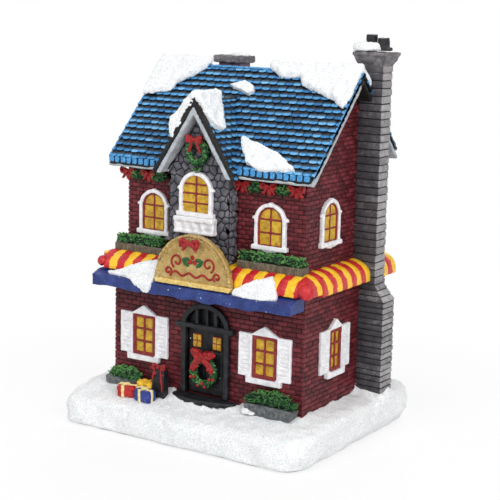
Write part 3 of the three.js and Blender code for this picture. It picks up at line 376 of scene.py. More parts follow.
def ramp(material, source, stops):
    made = addNode(material, "ShaderNodeValToRGB", links={0: source})
    bar = made.color_ramp.elements
    while len(bar) < len(stops):
        bar.new(0.5)
    for element, (position, colour) in zip(bar, stops):
        element.position = position
        element.color = linear(colour) if isinstance(colour, str) else (colour, colour, colour, 1)
    return made.outputs[0]


def grain(material, size, detail=3.0, rough=0.55, stretch=(1, 1, 1)):
    place = placeOn(material)
    if stretch != (1, 1, 1):
        place = addNode(material, "ShaderNodeMapping", {"Scale": stretch}, {"Vector": place}).outputs[0]
    values = {"Scale": 1 / (size * mm), "Detail": detail, "Roughness": rough}
    return addNode(material, "ShaderNodeTexNoise", values, {"Vector": place}).outputs["Fac"]


def mixed(material, share, first, second):
    made = addNode(material, "ShaderNodeMix", data_type="RGBA")
    for socket, value in ((0, share), (6, first), (7, second)):
        if hasattr(value, "is_output"):
            material.node_tree.links.new(value, made.inputs[socket])
        else:
            made.inputs[socket].default_value = linear(value) if isinstance(value, str) else value
    return made.outputs[2]


def bumps(material, shader, height, depth, under=None):
    values = {"Strength": 1.0, "Distance": depth * mm}
    made = addNode(material, "ShaderNodeBump", values, {"Height": height})
    if under is not None:
        material.node_tree.links.new(under, made.inputs["Normal"])
    material.node_tree.links.new(made.outputs[0], shader.inputs["Normal"])
    return made.outputs[0]


def newMaterial(name, roughness, metallic=0.0, coat=0.0):
    material = bpy.data.materials.new(name)
    material.use_nodes = True
    shader = material.node_tree.nodes["Principled BSDF"]
    shader.inputs["Roughness"].default_value = roughness
    shader.inputs["Metallic"].default_value = metallic
    shader.inputs["IOR"].default_value = 1.5
    shader.inputs["Specular IOR Level"].default_value = 0.5 if metallic else 0.28
    if coat:
        shader.inputs["Coat Weight"].default_value = coat
        shader.inputs["Coat Roughness"].default_value = 0.3
    return material, shader


def tint(material, shader, colour):
    material.node_tree.links.new(colour, shader.inputs["Base Color"])


# Single glass flakes: one grid cell in a few holds a flake. Real flakes are about 0.2 mm, and they
# are drawn at 0.4 mm so that they show.
flakeCell = 0.55


def flakes(material, least):
    place = placeOn(material)
    cells = addNode(material, "ShaderNodeTexVoronoi", {"Scale": 1 / (flakeCell * mm)}, {"Vector": place})
    rare = addNode(material, "ShaderNodeSeparateColor", links={0: cells.outputs["Color"]})
    chosen = ramp(material, rare.outputs[0], [(least, 0.0), (least + 0.01, 1.0)])
    near = ramp(material, cells.outputs["Distance"], [(0.28, 1.0), (0.4, 0.0)])
    return place, sums(material, "MULTIPLY", chosen, near), rare.outputs[1]


# Acrylic craft paint brushed over cast stone resin: the tone drifts from stroke to stroke between a dark
# wash and a lighter coat, and the brush leaves fine ridges that catch the light.
def acrylicOnResin(name, wash, base, lit, roughness, drift=2.2, dab=0.45, relief=0.05,
                   stretch=(1, 1, 1), coat=0.0, toneShare=None, paintedGlints=False):
    material, shader = newMaterial(name, roughness, coat=coat)
    broad = grain(material, drift, 2.0, stretch=stretch)
    fine = grain(material, dab, 4.0, 0.65, stretch)
    value = sums(material, "MULTIPLY_ADD", fine, 0.5, sums(material, "MULTIPLY", broad, 0.5))
    if toneShare:
        value = blended(material, toneShare, value, ownTone(material))
    colour = ramp(material, value, [(0.26, wash), (0.47, base), (0.72, lit)])
    # pale flecks of stray glitter, painted into the colour as glints
    if paintedGlints:
        colour = mixed(material, flakes(material, 0.972)[1], colour, "dfe8ee")
    tint(material, shader, colour)
    bumps(material, shader, fine, relief)
    return material


# White acrylic with crushed glass flakes: the grit is rough and matt, and single flakes are shinier.
# Their flashes of pale blue, green and pink are painted into the colour as painted glints.
def glitterSnow(name, foot=False):
    material, shader = newMaterial(name, 0.8)
    clod = grain(material, 1.6, 3.0)
    grit = grain(material, 0.42, 3.0, 0.7)
    white = ramp(material, clod, [(0.2, "eaecef"), (0.5, "f6f7f7"), (0.8, "fdfdfd")])
    white = mixed(material, ramp(material, grit, [(0.37, 1.0), (0.51, 0.0)]), white, "d3d7db")
    place, flash, own = flakes(material, 0.94)
    # the flakes' pastel flashes, painted into the colour as glints
    glintHue = ramp(material, own, [(0.1, "9fdcf6"), (0.4, "b6f0da"), (0.65, "f5c8e2"), (0.9, "f8e9b4")])
    white = mixed(material, flash, white, glintHue)
    # a thin grey line along the base's foot: painted contact shadow where the base meets the floor
    if foot:
        axes = addNode(material, "ShaderNodeSeparateXYZ", links={0: place}).outputs
        height = sums(material, "MULTIPLY", axes[2], 1 / mm)
        white = mixed(material, ramp(material, height, [(0.35, 1.0), (0.75, 0.0)]), white, "4b4c50")
    tint(material, shader, white)
    shine = sums(material, "MULTIPLY_ADD", flash, -0.55, 0.8)
    material.node_tree.links.new(shine, shader.inputs["Roughness"])
    bumps(material, shader, grit, 0.18, bumps(material, shader, clod, 0.25))
    return material


# Roof paint: near-black under-coat, slate grey on each tile's body, blue dry-brushed on its lip. The body
# darkens to black towards its upper end: dark paint and painted shade from the course above. The front end
# faces are painted shadow under each lip
def dryBrushedTile():
    material, shader = newMaterial("dryBrushedTile", 0.45)
    layout = addNode(material, "ShaderNodeUVMap", uv_map="tile").outputs[0]
    along = addNode(material, "ShaderNodeSeparateXYZ", links={0: layout}).outputs[1]
    streak = grain(material, 0.5, 4.0, 0.6)
    value = blended(material, 0.3, streak, ownTone(material))
    blue = ramp(material, value, [(0.25, "1b4a75"), (0.42, "327cb8"), (0.58, "5aa5db"), (0.8, "a0d2f2")])
    slate = ramp(material, value, [(0.3, "151c24"), (0.5, "2c3d4d"), (0.75, "4d6b84")])
    edge = sums(material, "ADD", along, sums(material, "MULTIPLY_ADD", streak, 0.26, -0.13))
    body = mixed(material, ramp(material, edge, [(0.24, 0.0), (0.36, 1.0)]), blue, slate)
    # black towards each tile's upper end: dark paint and painted shade from the course above
    dark = ramp(material, edge, [(0.42, 0.0), (0.56, 1.0)])
    # the front end faces are black: painted shadow under each lip
    butt = ramp(material, along, [(0.0, 1.0), (0.004, 0.0)])
    tint(material, shader, mixed(material, sums(material, "MAXIMUM", dark, butt), body, "0e1318"))
    bumps(material, shader, streak, 0.06)
    return material


# Mustard lacquer for a lit pane: thin yellow over brown, in cloudy patches
def paneLacquer():
    material, shader = newMaterial("paneLacquer", 0.32, coat=0.3)
    cloudy = grain(material, 1.7, 3.0, 0.6)
    fine = grain(material, 0.4, 3.0)
    yellow = ramp(material, blended(material, 0.35, cloudy, fine),
                  [(0.28, "7a5510"), (0.42, "ad831a"), (0.56, "cfa625"), (0.74, "e6c342")])
    tint(material, shader, yellow)
    bumps(material, shader, fine, 0.04)
    return material


# Antique gold: metallic acrylic with a dark wash that stays in the crazing
def antiqueGold(name, dark, base, lit):
    material, shader = newMaterial(name, 0.42, metallic=0.25)
    broad = grain(material, 3.0, 3.0)
    fine = grain(material, 0.5, 4.0, 0.65)
    # the cracks between cells of 3.2 mm wander by 0.6 mm
    place = placeOn(material)
    stray = addNode(material, "ShaderNodeTexNoise", {"Scale": 700.0}, {"Vector": place}).outputs["Color"]
    bent = addNode(material, "ShaderNodeVectorMath", {3: 0.6 * mm}, {0: stray}, operation="SCALE")
    where = addNode(material, "ShaderNodeVectorMath", links={0: place, 1: bent.outputs[0]}, operation="ADD")
    cells = addNode(material, "ShaderNodeTexVoronoi", {"Scale": 1 / (3.2 * mm)},
                    {"Vector": where.outputs[0]}, feature="DISTANCE_TO_EDGE")
    craze = cells.outputs["Distance"]
    value = blended(material, 0.5, broad, fine)
    gold = ramp(material, value, [(0.3, dark), (0.48, base), (0.7, lit)])
    gaps = sums(material, "MULTIPLY", ramp(material, craze, [(0.0, 1.0), (0.035, 0.0)]),
                ramp(material, broad, [(0.45, 0.0), (0.6, 0.8)]))
    tint(material, shader, mixed(material, gaps, gold, "3a2c14"))
    bumps(material, shader, fine, 0.06)
    return material


# Moulded ABS: a fine spark-eroded texture that dulls its shine
def mouldedAbs(name, colour, lit):
    material, shader = newMaterial(name, 0.48)
    fine = grain(material, 0.25, 2.0)
    tint(material, shader, ramp(material, fine, [(0.3, colour), (0.7, lit)]))
    bumps(material, shader, fine, 0.02)
    return material


# Nickel-plated steel with turned, slightly scratched faces
def nickelSteel():
    material, shader = newMaterial("nickelSteel", 0.3, metallic=1.0)
    scratch = grain(material, 0.3, 3.0, stretch=(1, 8, 1))
    tint(material, shader, ramp(material, scratch, [(0.3, "a9abad"), (0.7, "cdced0")]))
    shine = sums(material, "MULTIPLY_ADD", scratch, 0.2, 0.2)
    material.node_tree.links.new(shine, shader.inputs["Roughness"])
    return material


# Clear epoxy of the lamp, faintly warm, with a cloudy core
def lampEpoxy():
    material, shader = newMaterial("lampEpoxy", 0.12)
    cloud = grain(material, 2.0)
    tint(material, shader, ramp(material, cloud, [(0.3, "efdca0"), (0.7, "fbf1cf")]))
    shader.inputs["Transmission Weight"].default_value = 0.4
    return material


snow = glitterSnow("glitterSnow")
groundSnow = glitterSnow("groundSnow", foot=True)
brickPaint = acrylicOnResin("maroonBrick", "390b12", "581820", "7a3037", 0.5, drift=4.0, toneShare=0.3,
                            relief=0.09)
mortarWash = acrylicOnResin("mortarWash", "14060a", "26090e", "3d1016", 0.6)
ledgePaint = acrylicOnResin("maroonLedge", "390b12", "581820", "7a3037", 0.5, drift=1.4, relief=0.09)
tileBlue = dryBrushedTile()
tileUnder = acrylicOnResin("roofUndercoat", "07090c", "0f1419", "1c242c", 0.6)
boardGrey = acrylicOnResin("boardGrey", "7c8186", "aab0b5", "cdd2d6", 0.55, drift=3.0, relief=0.06)
cobblePaint = acrylicOnResin("cobbleGrey", "333339", "56555c", "86858c", 0.62, drift=3.5, toneShare=0.4,
                             relief=0.09)
jointBlack = acrylicOnResin("jointBlack", "131318", "1d1d22", "2c2c32", 0.7)
edgeBrown = acrylicOnResin("edgeBrown", "0b0a0a", "181615", "35312f", 0.6, drift=1.6, relief=0.09)
slateCourse = acrylicOnResin("slateCourse", "2f2e32", "525054", "aba8a9", 0.6, drift=1.9, toneShare=0.4,
                             relief=0.14)
slateCap = acrylicOnResin("slateCap", "3c3b3f", "625f63", "a09b9b", 0.6, drift=2.2, relief=0.1)
rearBrick = acrylicOnResin("tintedBrick", "51434a", "7c5a60", "8b8f9d", 0.6, drift=2.5)
trimWhite = acrylicOnResin("trimWhite", "b9b9bf", "e6e5e8", "fbfbfb", 0.5, drift=1.8, dab=0.4, relief=0.06)
sashMaroon = acrylicOnResin("sashMaroon", "4e1216", "7c2427", "a0413f", 0.45, drift=1.5)
pane = paneLacquer()
signRed = acrylicOnResin("signRed", "5e0c10", "8f1a1c", "b5342e", 0.5, drift=1.2, relief=0.04)
stripeYellow = acrylicOnResin("stripeYellow", "d99a10", "f6bd22", "ffd84c", 0.38, coat=0.25, drift=2.5)
stripeRed = acrylicOnResin("stripeRed", "8e0e17", "bd1b25", "d83c39", 0.38, coat=0.25, drift=2.5)
beamBlue = acrylicOnResin("beamBlue", "131d45", "1d3070", "3b5094", 0.4, coat=0.2, drift=3.5, relief=0.07,
                          paintedGlints=True)
soot = acrylicOnResin("sootBlack", "0b0c0e", "1a1b1e", "37393d", 0.45, drift=2.5, relief=0.06)
doorInk = acrylicOnResin("doorInk", "060708", "101114", "27292d", 0.42, drift=2.5, paintedGlints=True)
leafGreen = acrylicOnResin("leafGreen", "0c2013", "24592e", "6aa35a", 0.5, drift=1.2, dab=0.4,
                           toneShare=0.55)
leafShade = acrylicOnResin("leafShade", "050e08", "0b2012", "16401f", 0.65, drift=1.0)
ribbonRed = acrylicOnResin("ribbonRed", "4c040a", "8f0e16", "bd2422", 0.38, coat=0.2, drift=1.2,
                           relief=0.04)
troughWood = acrylicOnResin("troughWood", "2c2823", "5d5548", "94886f", 0.65, drift=1.4, dab=0.5,
                            stretch=(2.2, 2.2, 0.6), relief=0.12)
troughDark = acrylicOnResin("troughDark", "2a2c2c", "55585a", "8b8f90", 0.65, drift=1.2, dab=0.5,
                            relief=0.12)
signGold = antiqueGold("antiqueGold", "86692f", "b29455", "d6bd85")
brightGold = antiqueGold("brightGold", "b08c3a", "e0c070", "f6e3a4")
wrapRed = acrylicOnResin("wrapRed", "780a11", "ab151b", "cf352f", 0.4, coat=0.2, drift=1.4)
ribbonGold = acrylicOnResin("ribbonGold", "b07d12", "dba622", "f6d25a", 0.4, drift=1.0)
wrapYellow = acrylicOnResin("wrapYellow", "c08a10", "efc02a", "ffe062", 0.38, coat=0.2, drift=1.2)
wrapBlue = acrylicOnResin("wrapBlue", "10184a", "1f3180", "3c56b0", 0.38, coat=0.2, drift=1.2)
ribbonCream = acrylicOnResin("ribbonCream", "b59a55", "e6d28e", "fbf0c4", 0.4, drift=1.0)
blackAbs = mouldedAbs("blackAbs", "161618", "26262a")
steel = nickelSteel()
epoxy = lampEpoxy()
print("materials mixed")


# Snow on the ground, banked up against the walls, the outside chimney and the door step: each bank's
# height at the foot and how fast it falls off

ground = {"voxel": 0.62, "wall": (0.8, 1.6), "chimney": (2.6, 1.0), "step": (1.1, 0.9), "stepReach": 5.5,
          "drift": 0.45, "driftSize": 3.4, "ripple": 0.16, "rippleSize": 1.1, "edge": 1.1, "edgeSize": 8.5}


def banked(distance, bank):
    return bank[0] * np.exp(-distance / bank[1])


def outside(places, node):
    low, high = boxOf(node)
    dx = np.maximum(np.maximum(low[0] - places[:, 0], places[:, 0] - high[0]), 0)
    dy = np.maximum(np.maximum(low[1] - places[:, 1], places[:, 1] - high[1]), 0)
    return np.hypot(dx, dy)


def snowGround():
    piece = cast("ground_slab", "snow_ground", ground["voxel"], 0.25, 5.0, 3, seed=3.1)
    places = points(piece)
    low, high = boxOf("ground_slab")
    top = np.clip((places[:, 2] - 7) / 3, 0, 1)
    rise = banked(outside(places, "lower_walls"), ground["wall"])
    rise += banked(outside(places, "main_chimney"), ground["chimney"])
    # the step is half an oval, and the snow is cleared off it
    stepLow, stepHigh = boxOf("door_step")
    middle, half = (stepLow.x + stepHigh.x) / 2, (stepHigh.x - stepLow.x) / 2
    deep = stepHigh.y - stepLow.y
    oval = np.hypot((places[:, 0] - middle) / half, (places[:, 1] - stepHigh.y) / deep)
    beyond = (oval - 1) * ground["stepReach"]
    rise *= beyond > 0.3
    rise += banked(np.abs(beyond), ground["step"]) * (beyond > 0)
    drifts = noiseAt(places, ground["driftSize"]) * ground["drift"]
    drifts += noiseAt(places, ground["rippleSize"]) * ground["ripple"]
    places[:, 2] += top * (rise + drifts * (beyond > -0.2))
    side = np.clip(places[:, 2] / 3, 0, 1) * (1 - top)
    outward2d = np.column_stack([places[:, 0] / high[0], places[:, 1] / high[1]])
    broad = noiseAt(places, ground["edgeSize"]) * ground["edge"]
    places[:, :2] += outward2d * (side * (drifts + broad - 0.5))[:, None]
    places[:, 0] = np.clip(places[:, 0], low[0], high[0])
    places[:, 1] = np.clip(places[:, 1], low[1], high[1])
    places[:, 2] = np.maximum(places[:, 2], 0)
    setPoints(piece, places)
    dress(paint(piece, groundSnow), "snow_resin", "ground_slab")


snowGround()
print("ground covered")


# Brick walls: the CAD shells stay as the dark mortar, and each face gets its courses of bricks

brick = {"joint": 0.2, "proud": 0.24, "sunk": 0.12, "soft": 0.13, "shift": 0.05, "least": 0.2,
         "bend": 0.07, "bendSize": 1.4}
lowerBrick = {"length": 3.3, "height": 1.46, **brick}
upperBrick = {"length": 2.85, "height": 1.34, **brick}


def brickTemplate(size):
    piece = block((0, -size["proud"], 0), (size["length"] - size["joint"], size["sunk"],
                                           size["height"] - size["joint"]))
    editSome(piece, "FACE", lambda face: face.normal.y > 0.9)
    bpy.ops.mesh.delete(type="FACE")
    closeEdit()
    editSome(piece, "FACE", lambda face: face.normal.y < -0.9)
    bpy.ops.mesh.bevel(offset=size["soft"] * mm, segments=2, affect="EDGES")
    closeEdit()
    return piece


def arrayed(piece, count, step):
    applyModifier(piece, "ARRAY", count=count, use_relative_offset=False, use_constant_offset=True,
                  constant_offset_displace=step)


def stacked(template, stepX, stepZ, width, height):
    row = twin(template)
    arrayed(row, math.ceil(width / stepX) + 1, (stepX * mm, 0, 0))
    pair = joined("courses", [row, moved(twin(row), shifted(-stepX / 2, 0, stepZ))])
    arrayed(pair, math.ceil(height / (2 * stepZ)) + 1, (0, 0, 2 * stepZ * mm))
    return pair


# Lays courses on a wall drawn as a front wall from x = 0 to width and z = 0 to topAt(x)
def layBricks(size, width, height, topAt=None, arch=None):
    template = brickTemplate(size)
    wall = stacked(template, size["length"], size["height"], width, height)
    count = len(template.data.vertices)
    discard(template)
    places = points(wall).reshape(-1, count, 3)
    shifts = [[rng.uniform(-1, 1) * brick["shift"] for _ in range(3)] for _ in places]
    places += np.array(shifts)[:, None]
    middle = places.mean(axis=1)
    ceiling = np.array([topAt(x) if topAt else height for x in middle[:, 0]])
    keep = places[:, :, 0].max(axis=1) > brick["least"]
    keep &= places[:, :, 0].min(axis=1) < width - brick["least"]
    keep &= middle[:, 2] < ceiling - brick["least"]
    if arch:
        centre, half, spring, rise = arch
        x, z = middle[:, 0] - centre, middle[:, 2]
        jamb = (np.abs(x) < half - 0.8) & (z < spring)
        crown = (x / (half - 0.6)) ** 2 + ((z - spring) / (rise - 0.4)) ** 2 < 1
        keep &= ~(jamb | (crown & (z >= spring)))
    gone = np.repeat(~keep, count)
    editSome(wall, "VERT", lambda point: gone[point.index])
    bpy.ops.mesh.delete(type="VERT")
    closeEdit()
    places = places[keep].reshape(-1, 3)
    places[:, 0] = np.clip(places[:, 0], -brick["proud"], width + brick["proud"])
    limit = np.array([topAt(x) if topAt else height for x in places[:, 0]])
    places[:, 2] = np.minimum(places[:, 2], limit)
    if arch:
        x, z = places[:, 0] - centre, places[:, 2]
        jamb = (np.abs(x) < half) & (z < spring)
        places[jamb, 0] = centre + np.sign(x[jamb]) * half
        reach = np.sqrt((x / half) ** 2 + ((z - spring) / rise) ** 2)
        crown = (reach < 1) & (z >= spring)
        places[crown, 0] = centre + x[crown] / reach[crown]
        places[crown, 2] = spring + (z[crown] - spring) / reach[crown]
    setPoints(wall, places)
    tones(wall, np.repeat([rng.random() for _ in range(int(keep.sum()))], count))
    return wall


# Four walls of courses, each laid flat and then turned into its place round a box
def bricksRound(name, size, low, high, bottom, walls, seed=0.0):
    corners = [(low.x, low.y), (high.x, low.y), (high.x, high.y), (low.x, high.y)]
    spans = [high.x - low.x, high.y - low.y] * 2
    sides = []
    for step, wall in enumerate(walls):
        side = layBricks(size, spans[step], **wall)
        sides.append(moved(side, shifted(*corners[step], bottom, math.radians(90 * step))))
    piece = uneven(joined(name, sides), brick["bend"], brick["bendSize"], seed)
    dress(paint(softly(piece, 50), brickPaint), "brick_paint")


def brickWalls():
    low, high = boxOf("lower_walls")
    bottom = low.z - 0.6
    plain = {"height": high.z - bottom}
    doorLow, doorHigh = boxOf("door_leaf")
    arch = ((doorLow.x + doorHigh.x) / 2 - low.x, (doorHigh.x - doorLow.x) / 2 + 0.3,
            doorHigh.z - 5.3 - bottom, 5.6)
    walls = [{**plain, "arch": arch}, plain, plain, plain]
    bricksRound("lower_bricks", lowerBrick, low, high, bottom, walls)

    low, high = boxOf("upper_walls")
    depth = high.y - low.y
    ridge = roof["ridgeY"] - low.y
    peak = roof["ridgeZ"] - roof["underDepth"]
    slope = math.tan(roof["pitch"])
    # a gable's top at each place along its wall, seen from the front corner and from the rear one
    gable = lambda along: peak - slope * abs(along - ridge) - low.z
    mirror = lambda along: gable(depth - along)
    bricksRound("upper_bricks", upperBrick, low, high, low.z, [
        {"height": peak - slope * ridge - low.z},
        {"height": peak - low.z, "topAt": gable},
        {"height": peak - slope * (depth - ridge) - low.z},
        {"height": peak - low.z, "topAt": mirror},
    ], 5.0)
    paint(nodes["upper_walls"], mortarWash)
    # the ledge where the upper storey steps in has the bricks' colour
    storey = paint(nodes["lower_walls"], mortarWash, ledgePaint)
    for face in storey.data.polygons:
        face.material_index = int(face.normal.z > 0.9)


def readRoof():
    low, high = boxOf("roof_tiles")
    # the tiles are 1.2 mm thick, and with the deck below them 2.8 mm
    pitch = math.radians(45.85)
    ridgeY = low.y + (high.z - low.z - 1.2 / math.cos(pitch)) / math.tan(pitch)
    return {"low": low, "high": high, "pitch": pitch, "ridgeY": ridgeY, "ridgeZ": high.z,
            "underDepth": 2.8 / math.cos(pitch)}


roof = readRoof()
brickWalls()
print("bricks laid")


# Roof tiles: one scalloped tile, copied along each course and up each slope

tile = {"width": 2.95, "gap": 0.2, "reach": 1.5, "thick": 0.62, "round": 0.85, "tilt": 0.2, "sink": 0.75,
        "rim": 0.2, "dome": 0.12, "courses": 17, "dormerCourses": 14}
# the square ends of the lowest course, which hang over the eaves board
butt = {"step": 2.3, "wide": 1.7, "deep": 1.4, "drop": 1.9, "clear": 3.3}


def tileTemplate(course):
    width = tile["width"] - tile["gap"]
    long = course * tile["reach"]
    piece = block((0, 0, 0), (width, long, tile["thick"]))

    def isFrontCorner(edge):
        a, b = (piece.data.vertices[v].co for v in edge.vertices)
        return abs(a.z - b.z) > 0.1 * mm and max(a.y, b.y) < 0.1 * mm

    editSome(piece, "EDGE", isFrontCorner)
    bpy.ops.mesh.bevel(offset=tile["round"] * mm, segments=3, affect="EDGES")
    closeEdit()
    editSome(piece, "FACE", lambda face: face.normal.z > 0.9)
    bpy.ops.mesh.inset(thickness=tile["rim"] * mm)
    bpy.ops.transform.translate(value=(0, 0, tile["dome"] * mm))
    closeEdit()
    outward(piece)
    layer = piece.data.uv_layers.get("UVMap") or piece.data.uv_layers.new()
    layer.name = "tile"
    for face in piece.data.polygons:
        # the front end faces get a place of their own below the layout, which the paint makes black as
        # painted shadow under the lip
        isEnd = face.normal.y < -0.35 and abs(face.normal.z) < 0.5
        for loop in face.loop_indices:
            spot = piece.data.vertices[piece.data.loops[loop].vertex_index].co / mm
            layer.data[loop].uv = (spot.x / width, -0.5 if isEnd else 0.02 + spot.y / long)
    return piece


# Tiles in a slope's own frame: x across, y up the slope, z out of it
def layTiles(template, width, courses, course, frameMatrix, keep, top):
    matrices = []
    for row in range(courses):
        offset = -tile["width"] / 2 if row % 2 else 0.0
        for column in range(math.ceil(width / tile["width"]) + 1):
            x = column * tile["width"] + offset + rng.uniform(-0.08, 0.08)
            y = row * course + rng.uniform(-0.1, 0.1)
            spot = frameMatrix @ (Vector((x + tile["width"] / 2, y + course * 0.5, 0)) * mm)
            if keep(spot / mm):
                lean = Matrix.Rotation(-tile["tilt"] + rng.uniform(-0.02, 0.02), 4, "X")
                turn = Matrix.Rotation(rng.uniform(-0.03, 0.03), 4, "Z")
                lift = tile["thick"] * 0.35 + rng.uniform(-0.06, 0.06)
                matrices.append(Matrix.Translation(Vector((x, y, lift)) * mm) @ turn @ lean)
    sheet = copiesOf(template, matrices, "tiles")
    places = points(sheet)
    places[:, 0] = np.clip(places[:, 0], 0, width)
    places[:, 1] = np.clip(places[:, 1], -0.3, top)
    setPoints(sheet, places)
    tones(sheet, np.repeat([rng.random() for _ in matrices], len(template.data.vertices)))
    return moved(sheet, frameMatrix)


def slopeFrame(origin, across, up):
    across, up = Vector(across), Vector(up)
    turn = Matrix((across, up, across.cross(up))).transposed().to_4x4()
    return Matrix.Translation(Vector(origin) * mm) @ turn


def pushOut(piece, low, high):
    places = points(piece)
    inside = np.all((places > low) & (places < high), axis=1)
    toLow = places[:, 0] - low[0] < high[0] - places[:, 0]
    places[inside, 0] = np.where(toLow[inside], low[0], high[0])
    setPoints(piece, places)


dormerPitch = math.radians(57)


def mainSurface(y):
    return roof["ridgeZ"] - math.tan(roof["pitch"]) * abs(y - roof["ridgeY"])


def mainRoof():
    low, high, pitch = roof["low"], roof["high"], roof["pitch"]
    cosine, sine = math.cos(pitch), math.sin(pitch)
    width = high.x - low.x
    chimneyLow, chimneyHigh = boxOf("main_chimney")
    dormerLow, dormerHigh = boxOf("dormer_walls")
    wallLow, wallHigh = boxOf("upper_walls")

    def keep(spot):
        atDormer = dormerLow.x + 1 < spot.x < dormerHigh.x - 1 and spot.y < wallLow.y
        atChimney = spot.x > wallHigh.x + 1 and chimneyLow.y < spot.y < chimneyHigh.y - 1
        return not atDormer and not atChimney

    sheets, vergeEnds = [], []
    for side in (-1, 1):
        eave = low.y if side < 0 else high.y
        run = abs(roof["ridgeY"] - eave)
        courses = round(tile["courses"] * run / (roof["ridgeY"] - low.y))
        course = run / cosine / courses
        template = tileTemplate(course)
        normal = Vector((0, side * sine, cosine))
        start = Vector((low.x if side < 0 else high.x, eave, mainSurface(eave))) - normal * tile["sink"]
        frameMatrix = slopeFrame(start, (-side, 0, 0), (0, -side * cosine, sine))
        sheets.append(layTiles(template, width, courses, course, frameMatrix, keep, run / cosine))
        discard(template)
        # each course ends in a small blue butt over the verge, but not behind the chimney
        for row in range(courses):
            y = row * course + rng.uniform(-0.1, 0.1)
            for x in (0.05, width - 0.6):
                if side < 0 or x > 1:
                    corner = (x + 0.55, y + course * 0.8, 0.85 + rng.uniform(-0.1, 0.1))
                    end = block((x, y, -0.1), corner, 0.14, 1)
                    vergeEnds.append(moved(end, frameMatrix))
    piece = joined("roof_tile_courses", sheets)
    pushOut(piece, (dormerLow.x - 0.2, low.y - 5, 0), (dormerHigh.x + 0.2, wallLow.y - 0.3, 200))
    pushOut(piece, (wallHigh.x + 0.3, chimneyLow.y - 0.1, 0), (high.x + 9, chimneyLow.y + 5.9, 200))
    butts = []
    for side in (-1, 1):
        eave = low.y + 0.05 if side < 0 else high.y - 0.05
        surface = mainSurface(eave)
        near, far = sorted((eave, eave - side * butt["deep"]))
        for step in range(int(width / butt["step"])):
            x = low.x + 0.2 + butt["step"] * step
            if side < 0 and dormerLow.x - butt["clear"] < x + 1.2 < dormerHigh.x + butt["clear"]:
                continue
            drop = rng.uniform(-0.15, 0.15)
            butts.append(block((x, near, surface - butt["drop"] + drop),
                               (x + butt["wide"] + drop, far, surface + 0.1), 0.2, 1))
    butts = joined("butts", [uneven(piece, 0.12, 1.1) for piece in butts])
    ridge = block((low.x + 0.3, roof["ridgeY"] - 0.8, roof["ridgeZ"] - 1.3),
                  (high.x - 0.3, roof["ridgeY"] + 0.8, roof["ridgeZ"] - 0.25), 0.4, 3)
    uneven(remeshed(ridge, 0.3), 0.16, 1.3)
    ridge = joined("ridge", [ridge, butts, *vergeEnds])
    while ridge.data.uv_layers:
        ridge.data.uv_layers.remove(ridge.data.uv_layers[0])
    layer = ridge.data.uv_layers.new(name="tile")
    for corner in layer.data:
        corner.uv = (0.5, 0.2)
    piece = joined("roof_tile_courses", [piece, oneTone(ridge, 0.5)])
    dress(paint(softly(piece, 35), tileBlue), "tile_paint", "roof_tiles")

    # the dark bed that shows between the tiles, and the pale boards at the eaves and verges
    bed = cast("roof_deck", "roof_bed", 0.8, 0.05, 3.0, 1)
    moved(bed, Matrix.Translation(Vector((0, 0, 0.55 * mm))) @ Matrix.Diagonal((0.985, 1, 1, 1)))
    dress(paint(bed, tileUnder), "tile_paint")
    boards = cast("roof_deck", "eave_boards", 0.46, 0.16, 3.0, 2, seed=2.0)
    paint(boards, boardGrey, edgeBrown)
    # the rear verge behind the chimney is painted near black: dark paint, and painted shade for the shadow
    # it lies in
    for face in boards.data.polygons:
        spot = face.center / mm
        behind = roof["ridgeY"] - 1.5 < spot.y < chimneyHigh.y - 3
        face.material_index = int(behind and spot.x > wallHigh.x - 0.5)
    dress(boards, "board_paint", "roof_deck")


def dormerRoof():
    low, high = boxOf("dormer_roof")
    cosine, sine = math.cos(dormerPitch), math.sin(dormerPitch)
    centre, half = (low.x + high.x) / 2, (high.x - low.x) / 2
    top = half / cosine
    courses = tile["dormerCourses"]
    template = tileTemplate(top / courses)
    keep = lambda spot: spot.z > mainSurface(spot.y) - 1.6
    sheets = []
    for side in (-1, 1):
        normal = Vector((side * sine, 0, cosine))
        corner = Vector((centre + side * half, low.y if side > 0 else high.y, low.z))
        start = corner - normal * tile["sink"]
        frameMatrix = slopeFrame(start, (0, side, 0), (-side * cosine, 0, sine))
        sheets.append(layTiles(template, high.y - low.y, courses, top / courses, frameMatrix, keep, top))
    discard(template)
    piece = joined("dormer_tile_courses", sheets)
    places = points(piece)
    places[:, 1] = np.maximum(places[:, 1], low.y + 0.9)
    setPoints(piece, places)
    # the ragged dark edge of the tiles above the boards
    chevron = [(-half - 0.1, low.z + 0.7), (0, high.z + 1.1), (half - 0.4, low.z + 0.7),
               (half - 0.7, low.z - 0.2), (0, high.z - 1.3 / cosine), (0.2 - half, low.z - 0.2)]
    band = plate([(centre + x, z) for x, z in chevron], low.y + 0.2, low.y + 1.6)
    band = moulded("dormer_tile_edge", [band], 0.24, 1, 0.36, 0.8, 4.0)
    dress(paint(band, edgeBrown), "tile_paint")
    edge = cast("dormer_roof", "dormer_bed", 0.35, 0.06, 2.0, 1)
    moved(edge, Matrix.Translation(Vector((0, 0.1, -0.2)) * mm))
    dress(paint(edge, tileUnder), "tile_paint")
    dress(paint(softly(piece, 35), tileBlue), "tile_paint", "dormer_roof")
    boards = cast("dormer_barge_boards", "dormer_boards", 0.32, 0.12, 2.2, 2, seed=4.0)
    dress(paint(boards, boardGrey), "board_paint", "dormer_barge_boards")


mainRoof()
dormerRoof()
print("roof tiled")


# Dormer wall: flat cobbles with near-black joints, from shaken six-sided cells wrapped round
# three faces

cobble = {"wide": 2.75, "tall": 2.2, "shake": 0.5, "drift": 0.9, "driftSize": 4.5, "joint": 0.16,
          "round": 0.26, "proud": 0.42, "least": 1.1}


def bisected(piece, spot, normal, cleared=False):
    editAll(piece)
    bpy.ops.mesh.bisect(plane_co=Vector(spot) * mm, plane_no=normal, clear_outer=cleared)
    closeEdit()


